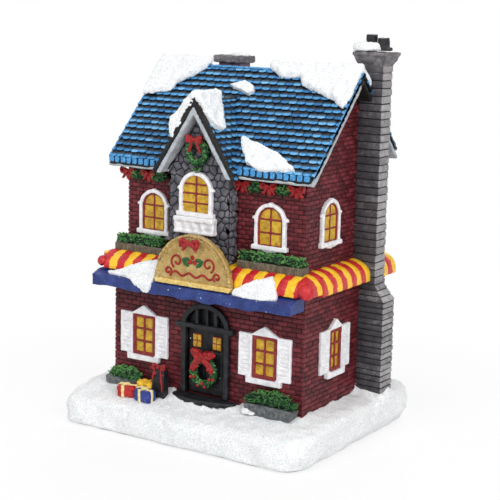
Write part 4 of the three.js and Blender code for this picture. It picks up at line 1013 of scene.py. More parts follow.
def cobbleSheet():
    low, high = boxOf("dormer_walls")
    side = boxOf("upper_walls")[0].y - low.y
    front = high.x - low.x
    folds = (side, side + front)
    whole = 2 * side + front
    bpy.ops.mesh.primitive_circle_add(vertices=6, radius=mm, fill_type="NGON")
    cell = bpy.context.active_object
    settle(cell)
    stretch = Matrix.Diagonal((cobble["wide"] / math.sqrt(3), cobble["tall"] / 1.5, 1, 1))
    upright = Matrix.Rotation(math.pi / 2, 4, "X")
    matrices = []
    for row in range(math.ceil((high.z - low.z) / cobble["tall"]) + 1):
        for column in range(math.ceil(whole / cobble["wide"]) + 2):
            spot = Vector(((column - 0.5 * (row % 2)) * cobble["wide"], 0, low.z + row * cobble["tall"]))
            matrices.append(Matrix.Translation(spot * mm) @ upright @ stretch)
    piece = copiesOf(cell, matrices, "cobbles")
    discard(cell)
    outward(piece, 0.1)
    places = points(piece)
    places[:, 0] += [rng.uniform(-1, 1) * cobble["shake"] for _ in places]
    places[:, 2] += [rng.uniform(-1, 1) * cobble["shake"] for _ in places]
    bend = driftAt(places, cobble["driftSize"]) * cobble["drift"]
    places[:, 0] += bend[:, 0]
    places[:, 2] += bend[:, 2]
    setPoints(piece, places)
    for fold in folds:
        bisected(piece, (fold, 0, 0), (1, 0, 0))
    ends = {(0, 0, 0): (-1, 0, 0), (whole, 0, 0): (1, 0, 0), (0, 0, low.z): (0, 0, -1)}
    for spot, normal in ends.items():
        bisected(piece, spot, normal, True)

    places = points(piece)
    along = places[:, 0].copy()
    places[:, 0] = low.x + np.clip(along - folds[0], 0, front)
    places[:, 1] = low.y + np.maximum(folds[0] - along, 0) + np.maximum(along - folds[1], 0)
    setPoints(piece, places)
    for way in (-1, 1):
        slope = (way * math.sin(dormerPitch), 0, math.cos(dormerPitch))
        bisected(piece, ((low.x + high.x) / 2, low.y, high.z), slope, True)
    return piece


def insetEach(thickness, depth):
    bpy.ops.mesh.inset(thickness=thickness * mm, depth=depth * mm, use_individual=True)


def dormerWall():
    piece = cobbleSheet()
    paint(piece, jointBlack, cobblePaint)
    # slivers left at a cut stay flat and black
    editSome(piece, "FACE", lambda face: face.area > cobble["least"] * mm * mm)
    insetEach(cobble["joint"], 0)
    piece.active_material_index = 1
    bpy.ops.object.material_slot_assign()
    insetEach(cobble["round"] * 0.4, cobble["proud"] * 0.6)
    insetEach(cobble["round"], cobble["proud"] * 0.4)
    closeEdit()
    piece.name = "dormer_cobbles"
    uneven(piece, 0.16, 0.9)
    tones(piece, 0.5 + 0.5 * noiseAt(points(piece), 1.9))
    dress(softly(piece, 60), "stone_paint")
    paint(nodes["dormer_walls"], jointBlack)


dormerWall()
print("dormer faced")


# Windows: one moulded casing, one sash and one glazed plate each, set on the wall's face

# the pieces stand proud of the wall's face, and reach "back" or "sashBack" into the wall
window = {"casing": 1.0, "casingProud": 1.3, "back": 0.1, "sash": 0.8, "sashProud": 0.8,
          "sashBack": 0.15, "glass": 0.42, "bar": 0.55, "lowerSash": 1.1, "lowerBar": 0.62,
          "shutter": 4.8, "sideShutter": 5.3, "voxel": 0.19, "slats": 9, "stile": 0.75,
          "innerStile": 1.0, "rail": 0.8}


def casingBlock(x0, x1, z0, z1, proud):
    return block((x0, -proud, z0), (x1, window["back"], z1))


def sashBlock(x0, x1, z0, z1, proud):
    return block((x0, -proud, z0), (x1, window["sashBack"], z1))


def bars(half, bottom, top, rows, width, proud):
    made = [sashBlock(-width / 2, width / 2, bottom, top, proud)]
    for row in range(1, rows):
        z = bottom + (top - bottom) * row / rows
        made.append(sashBlock(-half, half, z - width / 2, z + width / 2, proud))
    return made


def glazing(outline, seed):
    return paint(softened(plate(outline, -window["glass"], 0.2), 0.4, 0, 0.1, 1.6, seed), pane)


def archedWindow(name, half, sill, spring, rows, sashWidth, seed):
    width, proud = window["casing"], window["casingProud"]
    outer = half + width
    crown = spring + outer
    back = window["back"]
    apron = [(-half, sill - 1), (half, sill - 1), (half * 0.45, sill - 1.75), (0, sill - 2.0),
             (-half * 0.45, sill - 1.75)]
    casing = [
        plate(archBand(outer, width + 0.15, sill - 0.3, spring), -proud, back),
        casingBlock(-outer - 0.75, outer + 0.75, sill - 1.25, sill + 0.1, proud + 0.35),
        casingBlock(-0.5, 0.5, crown - width, crown + 0.25, proud + 0.2),
        *[lump((side * (outer + 0.15), -proud / 2, spring + 0.9), (0.85, 0.75, 0.5), (0, side * 0.6, 0))
          for side in (-1, 1)],
        plate(apron, -proud, back),
    ]
    casing = paint(moulded(name, casing, window["voxel"], 2, 0.12, 1.6, seed), trimWhite)
    front = window["sashProud"]
    sash = bars(half, sill, spring + half, rows, window["bar"], front - 0.15)
    if sashWidth:
        band = archBand(half + 0.1, sashWidth, sill, spring)
        sash.append(plate(band, -front, window["sashBack"]))
        sash.append(sashBlock(-half, half, sill, sill + sashWidth * 0.4, front))
    sash = paint(moulded(name, sash, window["voxel"], 1, 0.08, 1.5, seed + 1), sashMaroon)
    edge = half + 0.1
    glass = glazing(archLine(edge, sill - 0.1, spring, edge), seed + 2)
    # the bars stop at the arch
    places = points(sash)
    x, z = places[:, 0], places[:, 2] - spring
    reach = np.hypot(x, z)
    out = (z > 0) & (reach > edge)
    places[out, 0] *= edge / reach[out]
    places[out, 2] = spring + z[out] * edge / reach[out]
    setPoints(sash, places)
    return joined(name, [casing, sash, glass])


def louvredShutter(x0, x1, bottom, top, stiles):
    proud, rail = window["casingProud"] - 0.25, window["rail"]
    parts = [
        casingBlock(x0, x1, bottom, top, proud - 0.45),
        casingBlock(x0, x0 + stiles[0], bottom, top, proud),
        casingBlock(x1 - stiles[1], x1, bottom, top, proud),
        casingBlock(x0, x1, bottom, bottom + rail, proud),
        casingBlock(x0, x1, top - rail, top, proud),
    ]
    pitch = (top - bottom - 2 * rail) / window["slats"]
    for slat in range(window["slats"]):
        z = bottom + rail + pitch * slat
        parts.append(casingBlock(x0 + 0.5, x1 - 0.5, z + pitch * 0.12, z + pitch * 0.66, proud - 0.1))
    return parts


def shutteredWindow(name, half, sill, top, shutter, seed):
    proud, back = window["casingProud"], window["back"]
    inner = half + 0.1
    outer = inner + shutter
    stiles = (window["stile"], window["innerStile"])
    head = [(-half - 0.75, top - 0.1), (half + 0.75, top - 0.1), (0, top + 3.0)]
    ledge = [(-half - 1.9, sill + 0.55), (-half - 1.75, sill - 1.7), (half + 1.75, sill - 1.7),
             (half + 1.9, sill + 0.55), (half + 0.1, sill + 0.55), (half - 0.1, sill),
             (-half + 0.1, sill), (-half - 0.1, sill + 0.55)]
    casing = [
        *louvredShutter(-outer, -inner, sill + 0.1, top + 0.2, stiles),
        *louvredShutter(inner, outer, sill + 0.1, top + 0.2, stiles[::-1]),
        plate(head, -proud, back),
        plate(ledge, -proud - 0.35, back),
    ]
    casing = paint(moulded(name, casing, window["voxel"], 1, 0.1, 2.0, seed), trimWhite)
    width = window["lowerSash"]
    front = window["sashProud"] + 0.15
    sash = bars(half, sill + width * 0.5, top - width * 0.6, 3, window["lowerBar"], front - 0.1)
    sash += [
        sashBlock(-half, -half + width, sill, top, front),
        sashBlock(half - width, half, sill, top, front),
        sashBlock(-half, half, sill, sill + width, front),
        sashBlock(-half, half, top - width, top, front),
    ]
    sash = paint(moulded(name, sash, window["voxel"], 2, 0.1, 1.3, seed + 1), sashMaroon)
    glass = glazing([(-half, sill), (half, sill), (half, top), (-half, top)], seed + 2)
    return joined(name, [casing, sash, glass])


def wallFrame(node, face):
    low, high = boxOf(node)
    middle = (low + high) / 2
    turn, spot = {"front": (0, (middle.x, face, 0)), "right": (90, (face, middle.y, 0)),
                  "left": (-90, (face, middle.y, 0))}[facing(node)]
    return Matrix.Translation(Vector(spot) * mm) @ Matrix.Rotation(math.radians(turn), 4, "Z")


def facing(node):
    return "right" if "east" in node else "left" if "west" in node else "front"


def wallFace(node, wall):
    low, high = boxOf(wall)
    proud = cobble["proud"] if "dormer" in wall else 0
    return {"front": low.y - proud, "right": high.x, "left": low.x}[facing(node)]


def spanOf(node):
    low, high = boxOf(node)
    return (high.x - low.x if facing(node) == "front" else high.y - low.y) / 2


def allWindows():
    arched = [("upper_left_window", "upper_walls", 3), ("upper_right_window", "upper_walls", 3),
              ("upper_east_window", "upper_walls", 3), ("upper_west_window", "upper_walls", 3),
              ("dormer_window", "dormer_walls", 4)]
    for seed, (node, wall, rows) in enumerate(arched):
        low, high = boxOf(node)
        half = spanOf(node) - 2.45
        sash = 0.0 if node == "dormer_window" else window["sash"]
        spring = high.z - 2.4 - half
        piece = archedWindow(node + "_set", half, low.z + 1.4, spring, rows, sash, seed * 3.0)
        moved(piece, wallFrame(node, wallFace(node, wall)))
        dress(piece, "window_paint", node)
    for seed, node in enumerate(("lower_left_window", "lower_right_window", "lower_east_window",
                                 "lower_west_window")):
        low, high = boxOf(node)
        shutter = window["shutter"] if facing(node) == "front" else window["sideShutter"]
        half = spanOf(node) - shutter - 0.1
        piece = shutteredWindow(node + "_set", half, low.z + 2.1, high.z - 3.1, shutter, 20 + seed * 3.0)
        moved(piece, wallFrame(node, wallFace(node, "lower_walls")))
        dress(piece, "window_paint", node)


def balcony():
    low, high = boxOf("dormer_balcony")
    low.x += 1.0
    high.x -= 0.9
    width = high.x - low.x
    parts = [
        block((low.x + 0.3, low.y + 0.9, low.z), (high.x - 0.3, high.y + 0.4, high.z + 0.2)),
        block((low.x, low.y + 0.05, high.z - 1.0), (high.x, high.y + 0.4, high.z + 0.35)),
        block((low.x + 0.1, low.y + 0.15, low.z - 0.1), (high.x - 0.1, high.y + 0.4, low.z + 0.8)),
    ]
    for step in range(5):
        x = low.x + 1.1 + (width - 2.2) * step / 4
        radius = 1.35 if step in (0, 4) else 0.95
        parts.append(lump((x, low.y + 1.0, (low.z + high.z) / 2 - 0.1), (radius, 0.8, 2.3)))
    flare = [(low.x + 0.4, high.z), (low.x + 1.3, high.z + 1.5), (low.x + 1.7, high.z + 3.2),
             (low.x + 2.6, high.z + 3.2), (low.x + 2.6, high.z)]
    centre = (low.x + high.x) / 2
    parts.append(plate(flare, low.y + 1.5, high.y + 0.4))
    parts.append(plate([(2 * centre - x, z) for x, z in flare], low.y + 1.5, high.y + 0.4))
    piece = moulded("balcony_front", parts, 0.24, 2, 0.12, 1.8)
    dress(paint(piece, trimWhite), "window_paint", "dormer_balcony")


allWindows()
balcony()
print("windows hung")


# Striped awnings, the beam under them and the sign

awning = {"stripe": 2.95, "bulge": 0.3, "voxel": 0.3, "ballRadius": 2.9, "wander": 0.35, "foot": 50.6}


def stripeAlong(places):
    low, high = boxOf("front_awning")
    wall = boxOf("upper_walls")
    # on the front the stripes follow each other along x, and round the corner along y
    frontRun, sideRun = wall[0].y - low.y - 1.3, high.x - wall[1].x
    outFront = (wall[0].y - places[:, 1]) / frontRun
    outSide = np.maximum(places[:, 0] - wall[1].x, wall[0].x - places[:, 0]) / sideRun
    onFront = (outFront > outSide) & (places[:, 1] < wall[0].y)
    shake = noiseAt(places, 1.6) * awning["wander"]
    # 100 stripes more, so that no place counts below zero; the sides start half a stripe on
    stripe = awning["stripe"]
    return np.where(onFront, places[:, 0] + 100 * stripe, places[:, 1] + 100.5 * stripe) + shake


def awningBalls():
    low, high = boxOf("front_awning")
    radius = awning["ballRadius"]
    return [np.array((x, low.y + radius, low.z + radius)) for x in (low.x + radius, high.x - radius)]


def atBall(places, balls, margin):
    gaps = [np.linalg.norm(places - ball, axis=1) for ball in balls]
    return np.min(gaps, axis=0) < awning["ballRadius"] + margin


def stripedAwning(node, seed):
    piece = cast(node, node + "_cloth", awning["voxel"], 0.08, 2.0, 1, seed)
    places = points(piece)
    normals = vectorsOf(piece.data.vertices, "normal")
    ridge = np.abs(np.sin(math.pi * (stripeAlong(places) / awning["stripe"]))) ** 0.6 - 0.6
    outward3d = np.clip(normals[:, 2] + 0.6, 0, 1) * (places[:, 2] > awning["foot"])
    balls = awningBalls()
    places += normals * (ridge * awning["bulge"] * outward3d * ~atBall(places, balls, 0.3))[:, None]
    # the hand-modelled knobs at the front corners are smaller than the moulded ones, the left most so
    for ball, size, shift in zip(balls, (0.6, 0.84), (1.2, 0.3)):
        near = atBall(places, [ball], 0.35)
        places[near] = ball + np.array((shift, 0.2, 0.3)) + (places[near] - ball) * size
    setPoints(piece, places)
    paint(piece, stripeRed, stripeYellow)
    centres = vectorsOf(piece.data.polygons, "center") / mm
    which = np.floor(stripeAlong(centres) / awning["stripe"]).astype(int) % 2
    which[atBall(centres, balls, 0.25)] = 0
    piece.data.polygons.foreach_set("material_index", which.astype(np.int32))
    piece.data.update()
    dress(piece, "awning_paint", node)


def fasciaBeam():
    piece = cast("fascia_beam", "painted_beam", 0.38, 0.12, 3.0, 2, 6.0)
    low, high = boxOf("fascia_beam")
    places = points(piece)
    # its lower edge wanders up and down, and its upper edge has a brow
    foot = np.clip(1 - (places[:, 2] - low.z) / 1.6, 0, 1)
    places[:, 2] += foot * np.array([noise.noise(Vector((x / 5.0, 0.3, 0))) * 0.7 for x in places[:, 0]])
    brow = np.clip(1 - np.abs(places[:, 2] - high.z + 1.4) / 0.8, 0, 1) * (places[:, 1] < low.y + 1.5)
    places[:, 1] -= brow * 0.28
    places[:, 1] = np.maximum(places[:, 1], low.y - 0.25)
    setPoints(piece, places)
    dress(paint(piece, beamBlue), "beam_paint", "fascia_beam")


sign = {"rimProud": 0.45, "voxel": 0.24, "stroke": 0.34, "ledge": 1.5, "ledgeProud": 0.75, "foot": 1.6,
        "rims": ((0.0, 0.75, 0.45), (1.15, 0.45, 0.3)), "steps": 28}


# A bow in the front plane: two loops, a knot and two tails
def bow(width, centre, thick, droop, seed):
    x, y, z = centre
    half, tall = width / 2, width * 0.2
    parts = [lump((x, y - thick * 0.5, z), (width * 0.1, thick * 0.8, width * 0.12))]
    for side in (-1, 1):
        # each loop is two folds that open away from the knot, closed by an upright fold
        for rise in (-1, 1):
            parts.append(lump((x + side * half * 0.55, y, z + rise * tall * 0.5 + 0.1),
                              (half * 0.48, thick * 0.8, tall * 0.42), (0, -side * rise * 0.34, 0)))
        parts.append(lump((x + side * half * 0.86, y - thick * 0.2, z + 0.1),
                          (half * 0.15, thick * 0.8, tall * 1.02)))
        parts.append(lump((x + side * half * 0.5, y + thick * 0.35, z),
                          (half * 0.5, thick * 0.5, tall * 0.6)))
        reach = width * droop
        for step in range(4):
            share = (step + 0.6) / 4
            out = half * (0.12 + 0.55 * share)
            spot = (x + side * out, y + 0.1 - 0.1 * (step % 2), z - reach * share)
            parts.append(lump(spot, (width * 0.1, thick * 0.55, reach * 0.2), (0, side * 0.5, 0)))
    piece = moulded("bow", parts, max(0.15, width * 0.026), 1, 0.16, 0.9, seed)
    places = points(piece)
    places[:, 1] += foldsAt(places, 0.45, 2.0, seed) * thick * 0.3
    setPoints(piece, places)
    return paint(piece, ribbonRed)


# A stroke laid on a face, drawn through points in x and z
def stroke(line, y):
    curve = bpy.data.curves.new("stroke", "CURVE")
    curve.dimensions = "3D"
    curve.bevel_depth = sign["stroke"] * mm
    curve.bevel_resolution = 2
    spline = curve.splines.new("POLY")
    spline.points.add(len(line) - 1)
    for point, (x, z) in zip(spline.points, line):
        point.co = (x * mm, y * mm, z * mm, 1)
    pick(placed("stroke", curve))
    bpy.ops.object.convert(target="MESH")
    return bpy.context.active_object


def scroll(x, z, size, side):
    line = []
    for step in range(30):
        share = step / 29
        angle = -1.1 + 7.2 * share
        reach = size * (0.55 - 0.42 * share)
        line.append((x + side * (reach * math.cos(angle) + size * 0.1), z + reach * math.sin(angle)))
    return line


# The painted ornament: scrolls, a wavy line and three berries
def signMarks(foot, middle, front):
    marks, y = [], front - 0.05
    for side in (-1, 1):
        marks.append(stroke(scroll(side * 5.3, middle - 0.3, 4.2, side), y))
        marks.append(stroke(scroll(side * 9.2, foot + 2.3, 2.6, -side), y))
    wave = []
    for step in range(37):
        wave.append((-7.5 + 15 * step / 36, foot + 1.9 + 0.55 * math.sin(step * math.pi / 6)))
    marks.append(stroke(wave, y))
    for step in range(3):
        angle = math.pi / 2 + step * 2 * math.pi / 3
        spot = (0.95 * math.cos(angle), front - 0.1, middle + 0.4 + 0.95 * math.sin(angle))
        marks.append(lump(spot, (0.75, 0.5, 0.75)))
    return paint(joined("marks", marks), signRed)


def signLeaves(middle, y):
    leaves = []
    for side in (-1, 1):
        for lean, lower in ((0.15, 0), (-0.55, 1.3)):
            spot = (side * 2.5, y, middle + 0.6 - lower)
            leaves.append(lump(spot, (1.5, 0.32, 0.62), (0, side * lean, 0)))
    return oneTone(paint(joined("holly", leaves), leafGreen), 0.45)


def signRim(half, radius, foot, front, back):
    rims = []
    for inset, width, proud in sign["rims"]:
        band = archBand(half - inset, width, foot - 0.2, foot, radius - inset, sign["steps"])
        rims.append(plate(band, front - proud, back - 0.2))
    rim = moulded("rim", rims, 0.2, 2, 0.18, 1.3, 2.0)
    # crazed edge: the rim is pinched at uneven steps round the arch
    places = points(rim)
    angles = np.arctan2(places[:, 2] - foot, places[:, 0])
    cracks = np.array([noise.noise(Vector((angle * 9, 0.4, 0.2))) for angle in angles])
    places[:, 1] += np.where(np.abs(cracks) < 0.09, 0.3, 0)
    setPoints(rim, places)
    return paint(rim, signGold)


def signBoard():
    low, high = boxOf("sign_board")
    centre, half = (low.x + high.x) / 2, (high.x - low.x) / 2
    foot = low.z + sign["foot"]
    radius = high.z - foot
    front, back = low.y + sign["rimProud"], high.y
    outline = archLine(half - 0.2, foot - 0.6, foot, radius - 0.2, sign["steps"])
    board = moulded("board", [plate(outline, front, back)], sign["voxel"], 2, 0.1, 2.2, 1.0)
    paint(board, signGold)
    rim = signRim(half, radius, foot, front, back)
    top = low.z + sign["ledge"]
    base = plate([(-half + 0.2, low.z), (half - 0.2, low.z), (half + 0.1, top), (-half - 0.1, top)],
                 front - sign["ledgeProud"], back)
    base = paint(moulded("ledge", [base], 0.22, 2, 0.16, 1.6, 3.0), brightGold)
    middle = foot + radius * 0.42
    marks, leaves = signMarks(foot, middle, front), signLeaves(middle, front - 0.05)
    marks.data.shade_smooth()
    leaves.data.shade_smooth()
    for piece in (board, rim, base, marks, leaves):
        movedAcross(piece, centre)
    # the painter's red went over the right-hand edge of the board
    board.data.materials.append(signRed)
    for face in board.data.polygons:
        spot = face.center / mm
        face.material_index = int(face.normal.x > 0.55 and spot.y > front + 0.5 and spot.x > centre + 4)
    piece = joined("sign_half_disc", [board, rim, base, marks, leaves])
    dress(piece, "gold_paint", "sign_board")
    low, high = boxOf("sign_bow")
    knot = bow(high.x - low.x, ((low.x + high.x) / 2, high.y - 1.0, low.z + 2.3), 0.95, 0.3, 4.0)
    dress(knot, "red_paint", "sign_bow").name = "sign_ribbon_bow"


for seed, node in enumerate(("front_awning", "left_awning", "right_awning", "right_rear_awning")):
    stripedAwning(node, 10.0 + seed)
fasciaBeam()
signBoard()
print("awnings striped")


# Chimneys: courses of hewn blocks round the CAD shaft, which stays as their dark joints

hewn = {"lower": 1.85, "upper": 2.3, "joint": 0.2, "gap": 0.09, "proud": 0.28, "soft": 0.36}


def courses(low, high, height, splits=0.0):
    count = round((high.z - low.z) / height)
    tall = (high.z - low.z) / count
    made, own = [], []
    proud = hewn["proud"]
    for level in range(count):
        z0 = low.z + tall * level
        z1 = z0 + tall - hewn["joint"]
        x0, x1 = low.x - proud, high.x + proud
        y0, y1 = low.y - proud, high.y + proud
        splitX = x0 + (x1 - x0) * rng.uniform(0.3, 0.7)
        splitY = y0 + (y1 - y0) * rng.uniform(0.35, 0.65)
        gap = hewn["gap"]
        cells = [(x0, x1, y0, y1)]
        if rng.random() < splits:
            cells = [(x0, splitX - gap, y0, y1), (splitX + gap, x1, y0, y1)]
        if rng.random() < splits:
            spans = ((y0, splitY - gap), (splitY + gap, y1))
            cells = [(a, b, *span) for a, b, _, _ in cells for span in spans]
        for a, b, c, d in cells:
            jut = rng.uniform(-0.08, 0.08)
            piece = block((a - jut, c - jut, z0), (b + jut, d + jut, z1), hewn["soft"])
            light = 0.18 + 0.34 * rng.random()
            # the faces turned to the right are made much lighter
            own += [light + (0.5 if point.normal.x > 0.3 else 0) for point in piece.data.vertices]
            made.append(piece)
    piece = joined("courses", made)
    tones(piece, own)
    return piece


def mainChimney():
    low, high = boxOf("main_chimney")
    wall = boxOf("upper_walls")[1]
    inner = boxOf("lower_walls")[1].x + 0.3
    shoulderFoot, shoulderTop = low.z + 32.1, low.z + 37.4
    upperX, upperY = high.x - 3.3, high.y - 1.3
    shoulder = Vector((high.x, high.y, shoulderTop))
    lower = courses(Vector((inner, low.y, low.z + 1)), shoulder, hewn["lower"])
    places = points(lower)
    rise = np.clip((places[:, 2] - shoulderFoot) / (shoulderTop - shoulderFoot), 0, 1)
    places[:, 0] -= rise * 3.3 * (places[:, 0] - inner) / (high.x - inner)
    places[:, 1] -= rise * 1.3 * (places[:, 1] - low.y) / (high.y - low.y)
    setPoints(lower, places)
    capFoot = boxOf("chimney_cap")[1].z - 3.9
    neck = Vector((wall.x + 0.3, low.y, shoulderTop))
    upper = courses(neck, Vector((upperX, upperY, capFoot)), hewn["upper"])
    piece = joined("main_chimney_courses", [lower, upper])
    uneven(piece, 0.2, 1.0)
    dress(paint(softly(piece, 70), slateCourse), "stone_paint")
    paint(nodes["main_chimney"], jointBlack)

    low, high = boxOf("chimney_cap")
    inner = (wall.x + 0.1, low.y + 1.9, upperX + 0.1, upperY + 0.1)
    parts = [block((low.x, low.y, high.z - 1.25), (high.x, high.y, high.z - 0.1))]
    outer = (low.x, low.y, high.x, high.y)
    for step in range(6):
        share = step / 6
        edges = [a + (b - a) * (0.25 + 0.75 * share ** 1.4) for a, b in zip(outer, inner)]
        top = high.z - 1.2 - 2.7 * share
        parts.append(block((edges[0], edges[1], top - 0.7), (edges[2], edges[3], top + 0.1)))
    parts.append(block((inner[0], inner[1], capFoot - 3.2), (inner[2], inner[3], capFoot + 0.2)))
    cap = moulded("hewn_cap", parts, 0.26, 2, 0.22, 1.5, 3.0)
    dress(paint(cap, slateCap), "stone_paint", "chimney_cap")
    pots = cast("chimney_pots", "sooty_pots", 0.24, 0.22, 1.3, 1, 5.0)
    dress(paint(pots, soot), "black_paint", "chimney_pots")


def rearChimney():
    low, high = boxOf("rear_chimney")
    capFoot = high.z - 1.6
    shaftLow = Vector((low.x + 1.2, low.y + 1.2, low.z))
    shaftHigh = Vector((high.x - 1.2, high.y - 1.2, capFoot))
    piece = courses(shaftLow, shaftHigh, hewn["lower"], 0.5)
    places = points(piece)
    sunk = np.array([mainSurface(y) - 0.8 for y in places[:, 1]])
    places[:, 2] = np.maximum(places[:, 2], sunk)
    setPoints(piece, places)
    uneven(piece, 0.15, 1.0)
    dress(paint(softly(piece, 70), rearBrick), "stone_paint").name = "rear_chimney_courses"
    top = (high.x + 0.3, high.y + 0.3, high.z + 0.2)
    cap = block((low.x - 0.3, low.y - 0.3, capFoot - 0.5), top, 0.3)
    cap = moulded("rear_chimney_cap", [cap], 0.3, 1, 0.3, 1.6, 7.0)
    dress(paint(cap, slateCap), "stone_paint")
    paint(nodes["rear_chimney"], jointBlack)


mainChimney()
rearChimney()
print("chimneys built")


# Entrance: black casing with a fanlight, planked leaf with two small windows, and a worn step

door = {"half": 7.6, "ring": 1.5, "spring": 35.7, "rise": 5.6, "voxel": 0.2, "reach": 10.6, "planks": 4,
        "plankTop": 34, "lightAt": 3.7, "lightHalf": 1.65, "lightFoot": 28.3, "lightTop": 32.7}


def doorCasing():
    low, high = boxOf("door_frame")
    back = high.y + 0.15
    half, ring, spring, rise = (door[key] for key in ("half", "ring", "spring", "rise"))
    outer, reach = half + ring - 0.3, door["reach"]
    front = high.y - 1.3
    parts = [
        plate(archBand(outer, ring + 0.1, low.z, spring, rise + ring, 24), front, back),
        block((-reach, low.y, spring - 1.0), (reach, back, spring + 0.45)),
    ]
    # a bracket under each end of the transom, a plinth at each jamb's foot, and the fanlight's bars
    for x0, x1 in ((-10.3, -8.4), (8.4, 10.3)):
        parts.append(block((x0, low.y + 0.3, spring - 1.5), (x1, back, spring - 0.4)))
    for x0, x1 in ((-outer, -outer + 1.7), (outer - 1.7, outer)):
        parts.append(block((x0, front - 0.25, low.z), (x1, back, low.z + 1.4)))
    for x, wide in ((-3.3, 0.55), (0.6, 0.22), (3.7, 0.55)):
        tall = rise * math.sqrt(1 - (x / half) ** 2) + 0.3
        parts.append(block((x - wide, front + 0.45, spring), (x + wide, back + 0.4, spring + tall)))
    casing = moulded("door_casing", parts, door["voxel"], 2, 0.12, 1.8, 8.0)
    movedAcross(casing, (low.x + high.x) / 2)
    places = points(casing)
    places[:, 1] = np.maximum(places[:, 1], low.y - 0.1)
    setPoints(casing, places)
    dress(paint(casing, soot), "black_paint", "door_frame")


# A small window in the door: a maroon surround with four panes
def doorLight(x, face, seed):
    foot, top = door["lightFoot"], door["lightTop"]
    half = door["lightHalf"]
    surround = [block((x - half, face - 0.25, foot), (x + half, face + 0.3, top))]
    surround = paint(moulded("surround", surround, 0.18, 1, 0.08, 1.4, seed), sashMaroon)
    panes = []
    for column in (0, 1):
        for row in (0, 1):
            x0, z0 = x - 1.5 + column * 1.6, 28.5 + row * 2.1
            light = block((x0, face - 0.42, z0), (x0 + 1.4, face + 0.2, z0 + 1.85), 0.22)
            panes.append(paint(uneven(light, 0.1, 0.8, x0), pane))
    return [*panes, surround]


def doorLeaf():
    low, high = boxOf("door_leaf")
    half = (high.x - low.x) / 2
    face, foot, back = low.y, low.z, high.y - 0.2
    parts = [plate(archLine(half, foot, door["spring"], door["rise"] - 0.3, 20), face + 0.35, high.y)]
    # stiles, rails and planks stand a little proud of the leaf
    edge = half - 0.5
    for x0, x1, z0, z1 in ((-edge, -half + 1.7, foot, 34.7), (half - 1.7, edge, foot, 34.7),
                           (-edge, edge, 33.5, 34.9), (-edge, edge, foot, foot + 2.6),
                           (-0.35, 0.35, foot + 2, door["plankTop"]), (-edge, edge, 26.3, 27.3)):
        parts.append(block((x0, face - 0.05, z0), (x1, back, z1)))
    wide = (2 * half - 4.2) / door["planks"]
    for step in range(door["planks"]):
        x = -half + 2.1 + step * (2 * half - 4.2) / door["planks"]
        parts.append(block((x + 0.08, face + 0.12, foot + 1), (x + wide - 0.08, back, door["plankTop"])))
    leaf = paint(moulded("door_planks", parts, door["voxel"], 1, 0.1, 1.8, 9.0), doorInk)
    lights = [light for side in (-1, 1) for light in doorLight(side * door["lightAt"], face, side)]
    piece = movedAcross(joined("door_planks", [leaf, *lights]), (low.x + high.x) / 2)
    dress(piece, "black_paint", "door_leaf")


def doorStep():
    step = cast("door_step", "worn_step", 0.32, 0.16, 2.0, 2, 2.0)
    dress(paint(step, soot), "black_paint", "door_step")


doorCasing()
doorLeaf()
doorStep()
print("door hung")


# Greenery: small bent leaves scattered over dark cores, with red bows and berries

leafThick = 0.18


# A leaf that is widest at 0.4 of its length and bends down towards its tip
def leafTemplate(long, wide, curl):
    piece = block((-wide / 2, 0, -leafThick / 2), (wide / 2, long, leafThick / 2))
    editAll(piece)
    bpy.ops.mesh.bisect(plane_co=(0, long * 0.4 * mm, 0), plane_no=(0, 1, 0))
    bpy.ops.mesh.select_all(action="SELECT")
    bpy.ops.mesh.bisect(plane_co=(0, long * 0.75 * mm, 0), plane_no=(0, 1, 0))
    closeEdit()
    places = points(piece)
    share = places[:, 1] / long
    places[:, 0] *= np.interp(share, [0, 0.4, 0.75, 1], [0.55, 1.0, 0.8, 0.15])
    places[:, 2] *= np.interp(share, [0, 0.4, 1], [1.0, 1.3, 0.4])
    places[:, 2] -= curl * share ** 2
    setPoints(piece, places)
    piece.data.shade_smooth()
    return piece


# Scatters leaves on a core's surface; each points out of it and then turns at random
def leaved(name, core, count, long, wide, spread, seed, keep=None):
    template = leafTemplate(long, wide, long * 0.3)
    chooser = random.Random(seed)
    faces = [f for f in core.data.polygons if keep is None or keep(f)]
    areas = np.cumsum([f.area for f in faces])
    matrices, own = [], []
    for _ in range(count):
        face = faces[int(np.searchsorted(areas, chooser.random() * areas[-1]))]
        normal = face.normal.copy()
        drift = Vector([chooser.uniform(-1, 1) for _ in range(3)])
        level = (drift - normal * drift.dot(normal)).normalized()
        along = (normal * (1 - spread) + level * spread + normal * 0.35).normalized()
        across = along.cross(normal).normalized()
        above = across.cross(along)
        size = chooser.uniform(0.7, 1.2)
        turn = Matrix((across, along, above)).transposed().to_4x4()
        spot = face.center - normal * 0.05 * mm
        matrices.append(Matrix.Translation(spot) @ turn @ Matrix.Scale(size, 4))
        # leaves on upward faces get a lighter tone: a painted highlight from the light above
        own.append(min(1, max(0, 0.25 + 0.5 * chooser.random() + 0.3 * normal.z)))
    piece = copiesOf(template, matrices, name)
    tones(piece, np.repeat(own, len(template.data.vertices)))
    discard(template)
    return paint(piece, leafGreen)


# Moves each point along its normal
def puffed(piece, amount):
    setPoints(piece, points(piece) + vectorsOf(piece.data.vertices, "normal") * amount)
    return piece


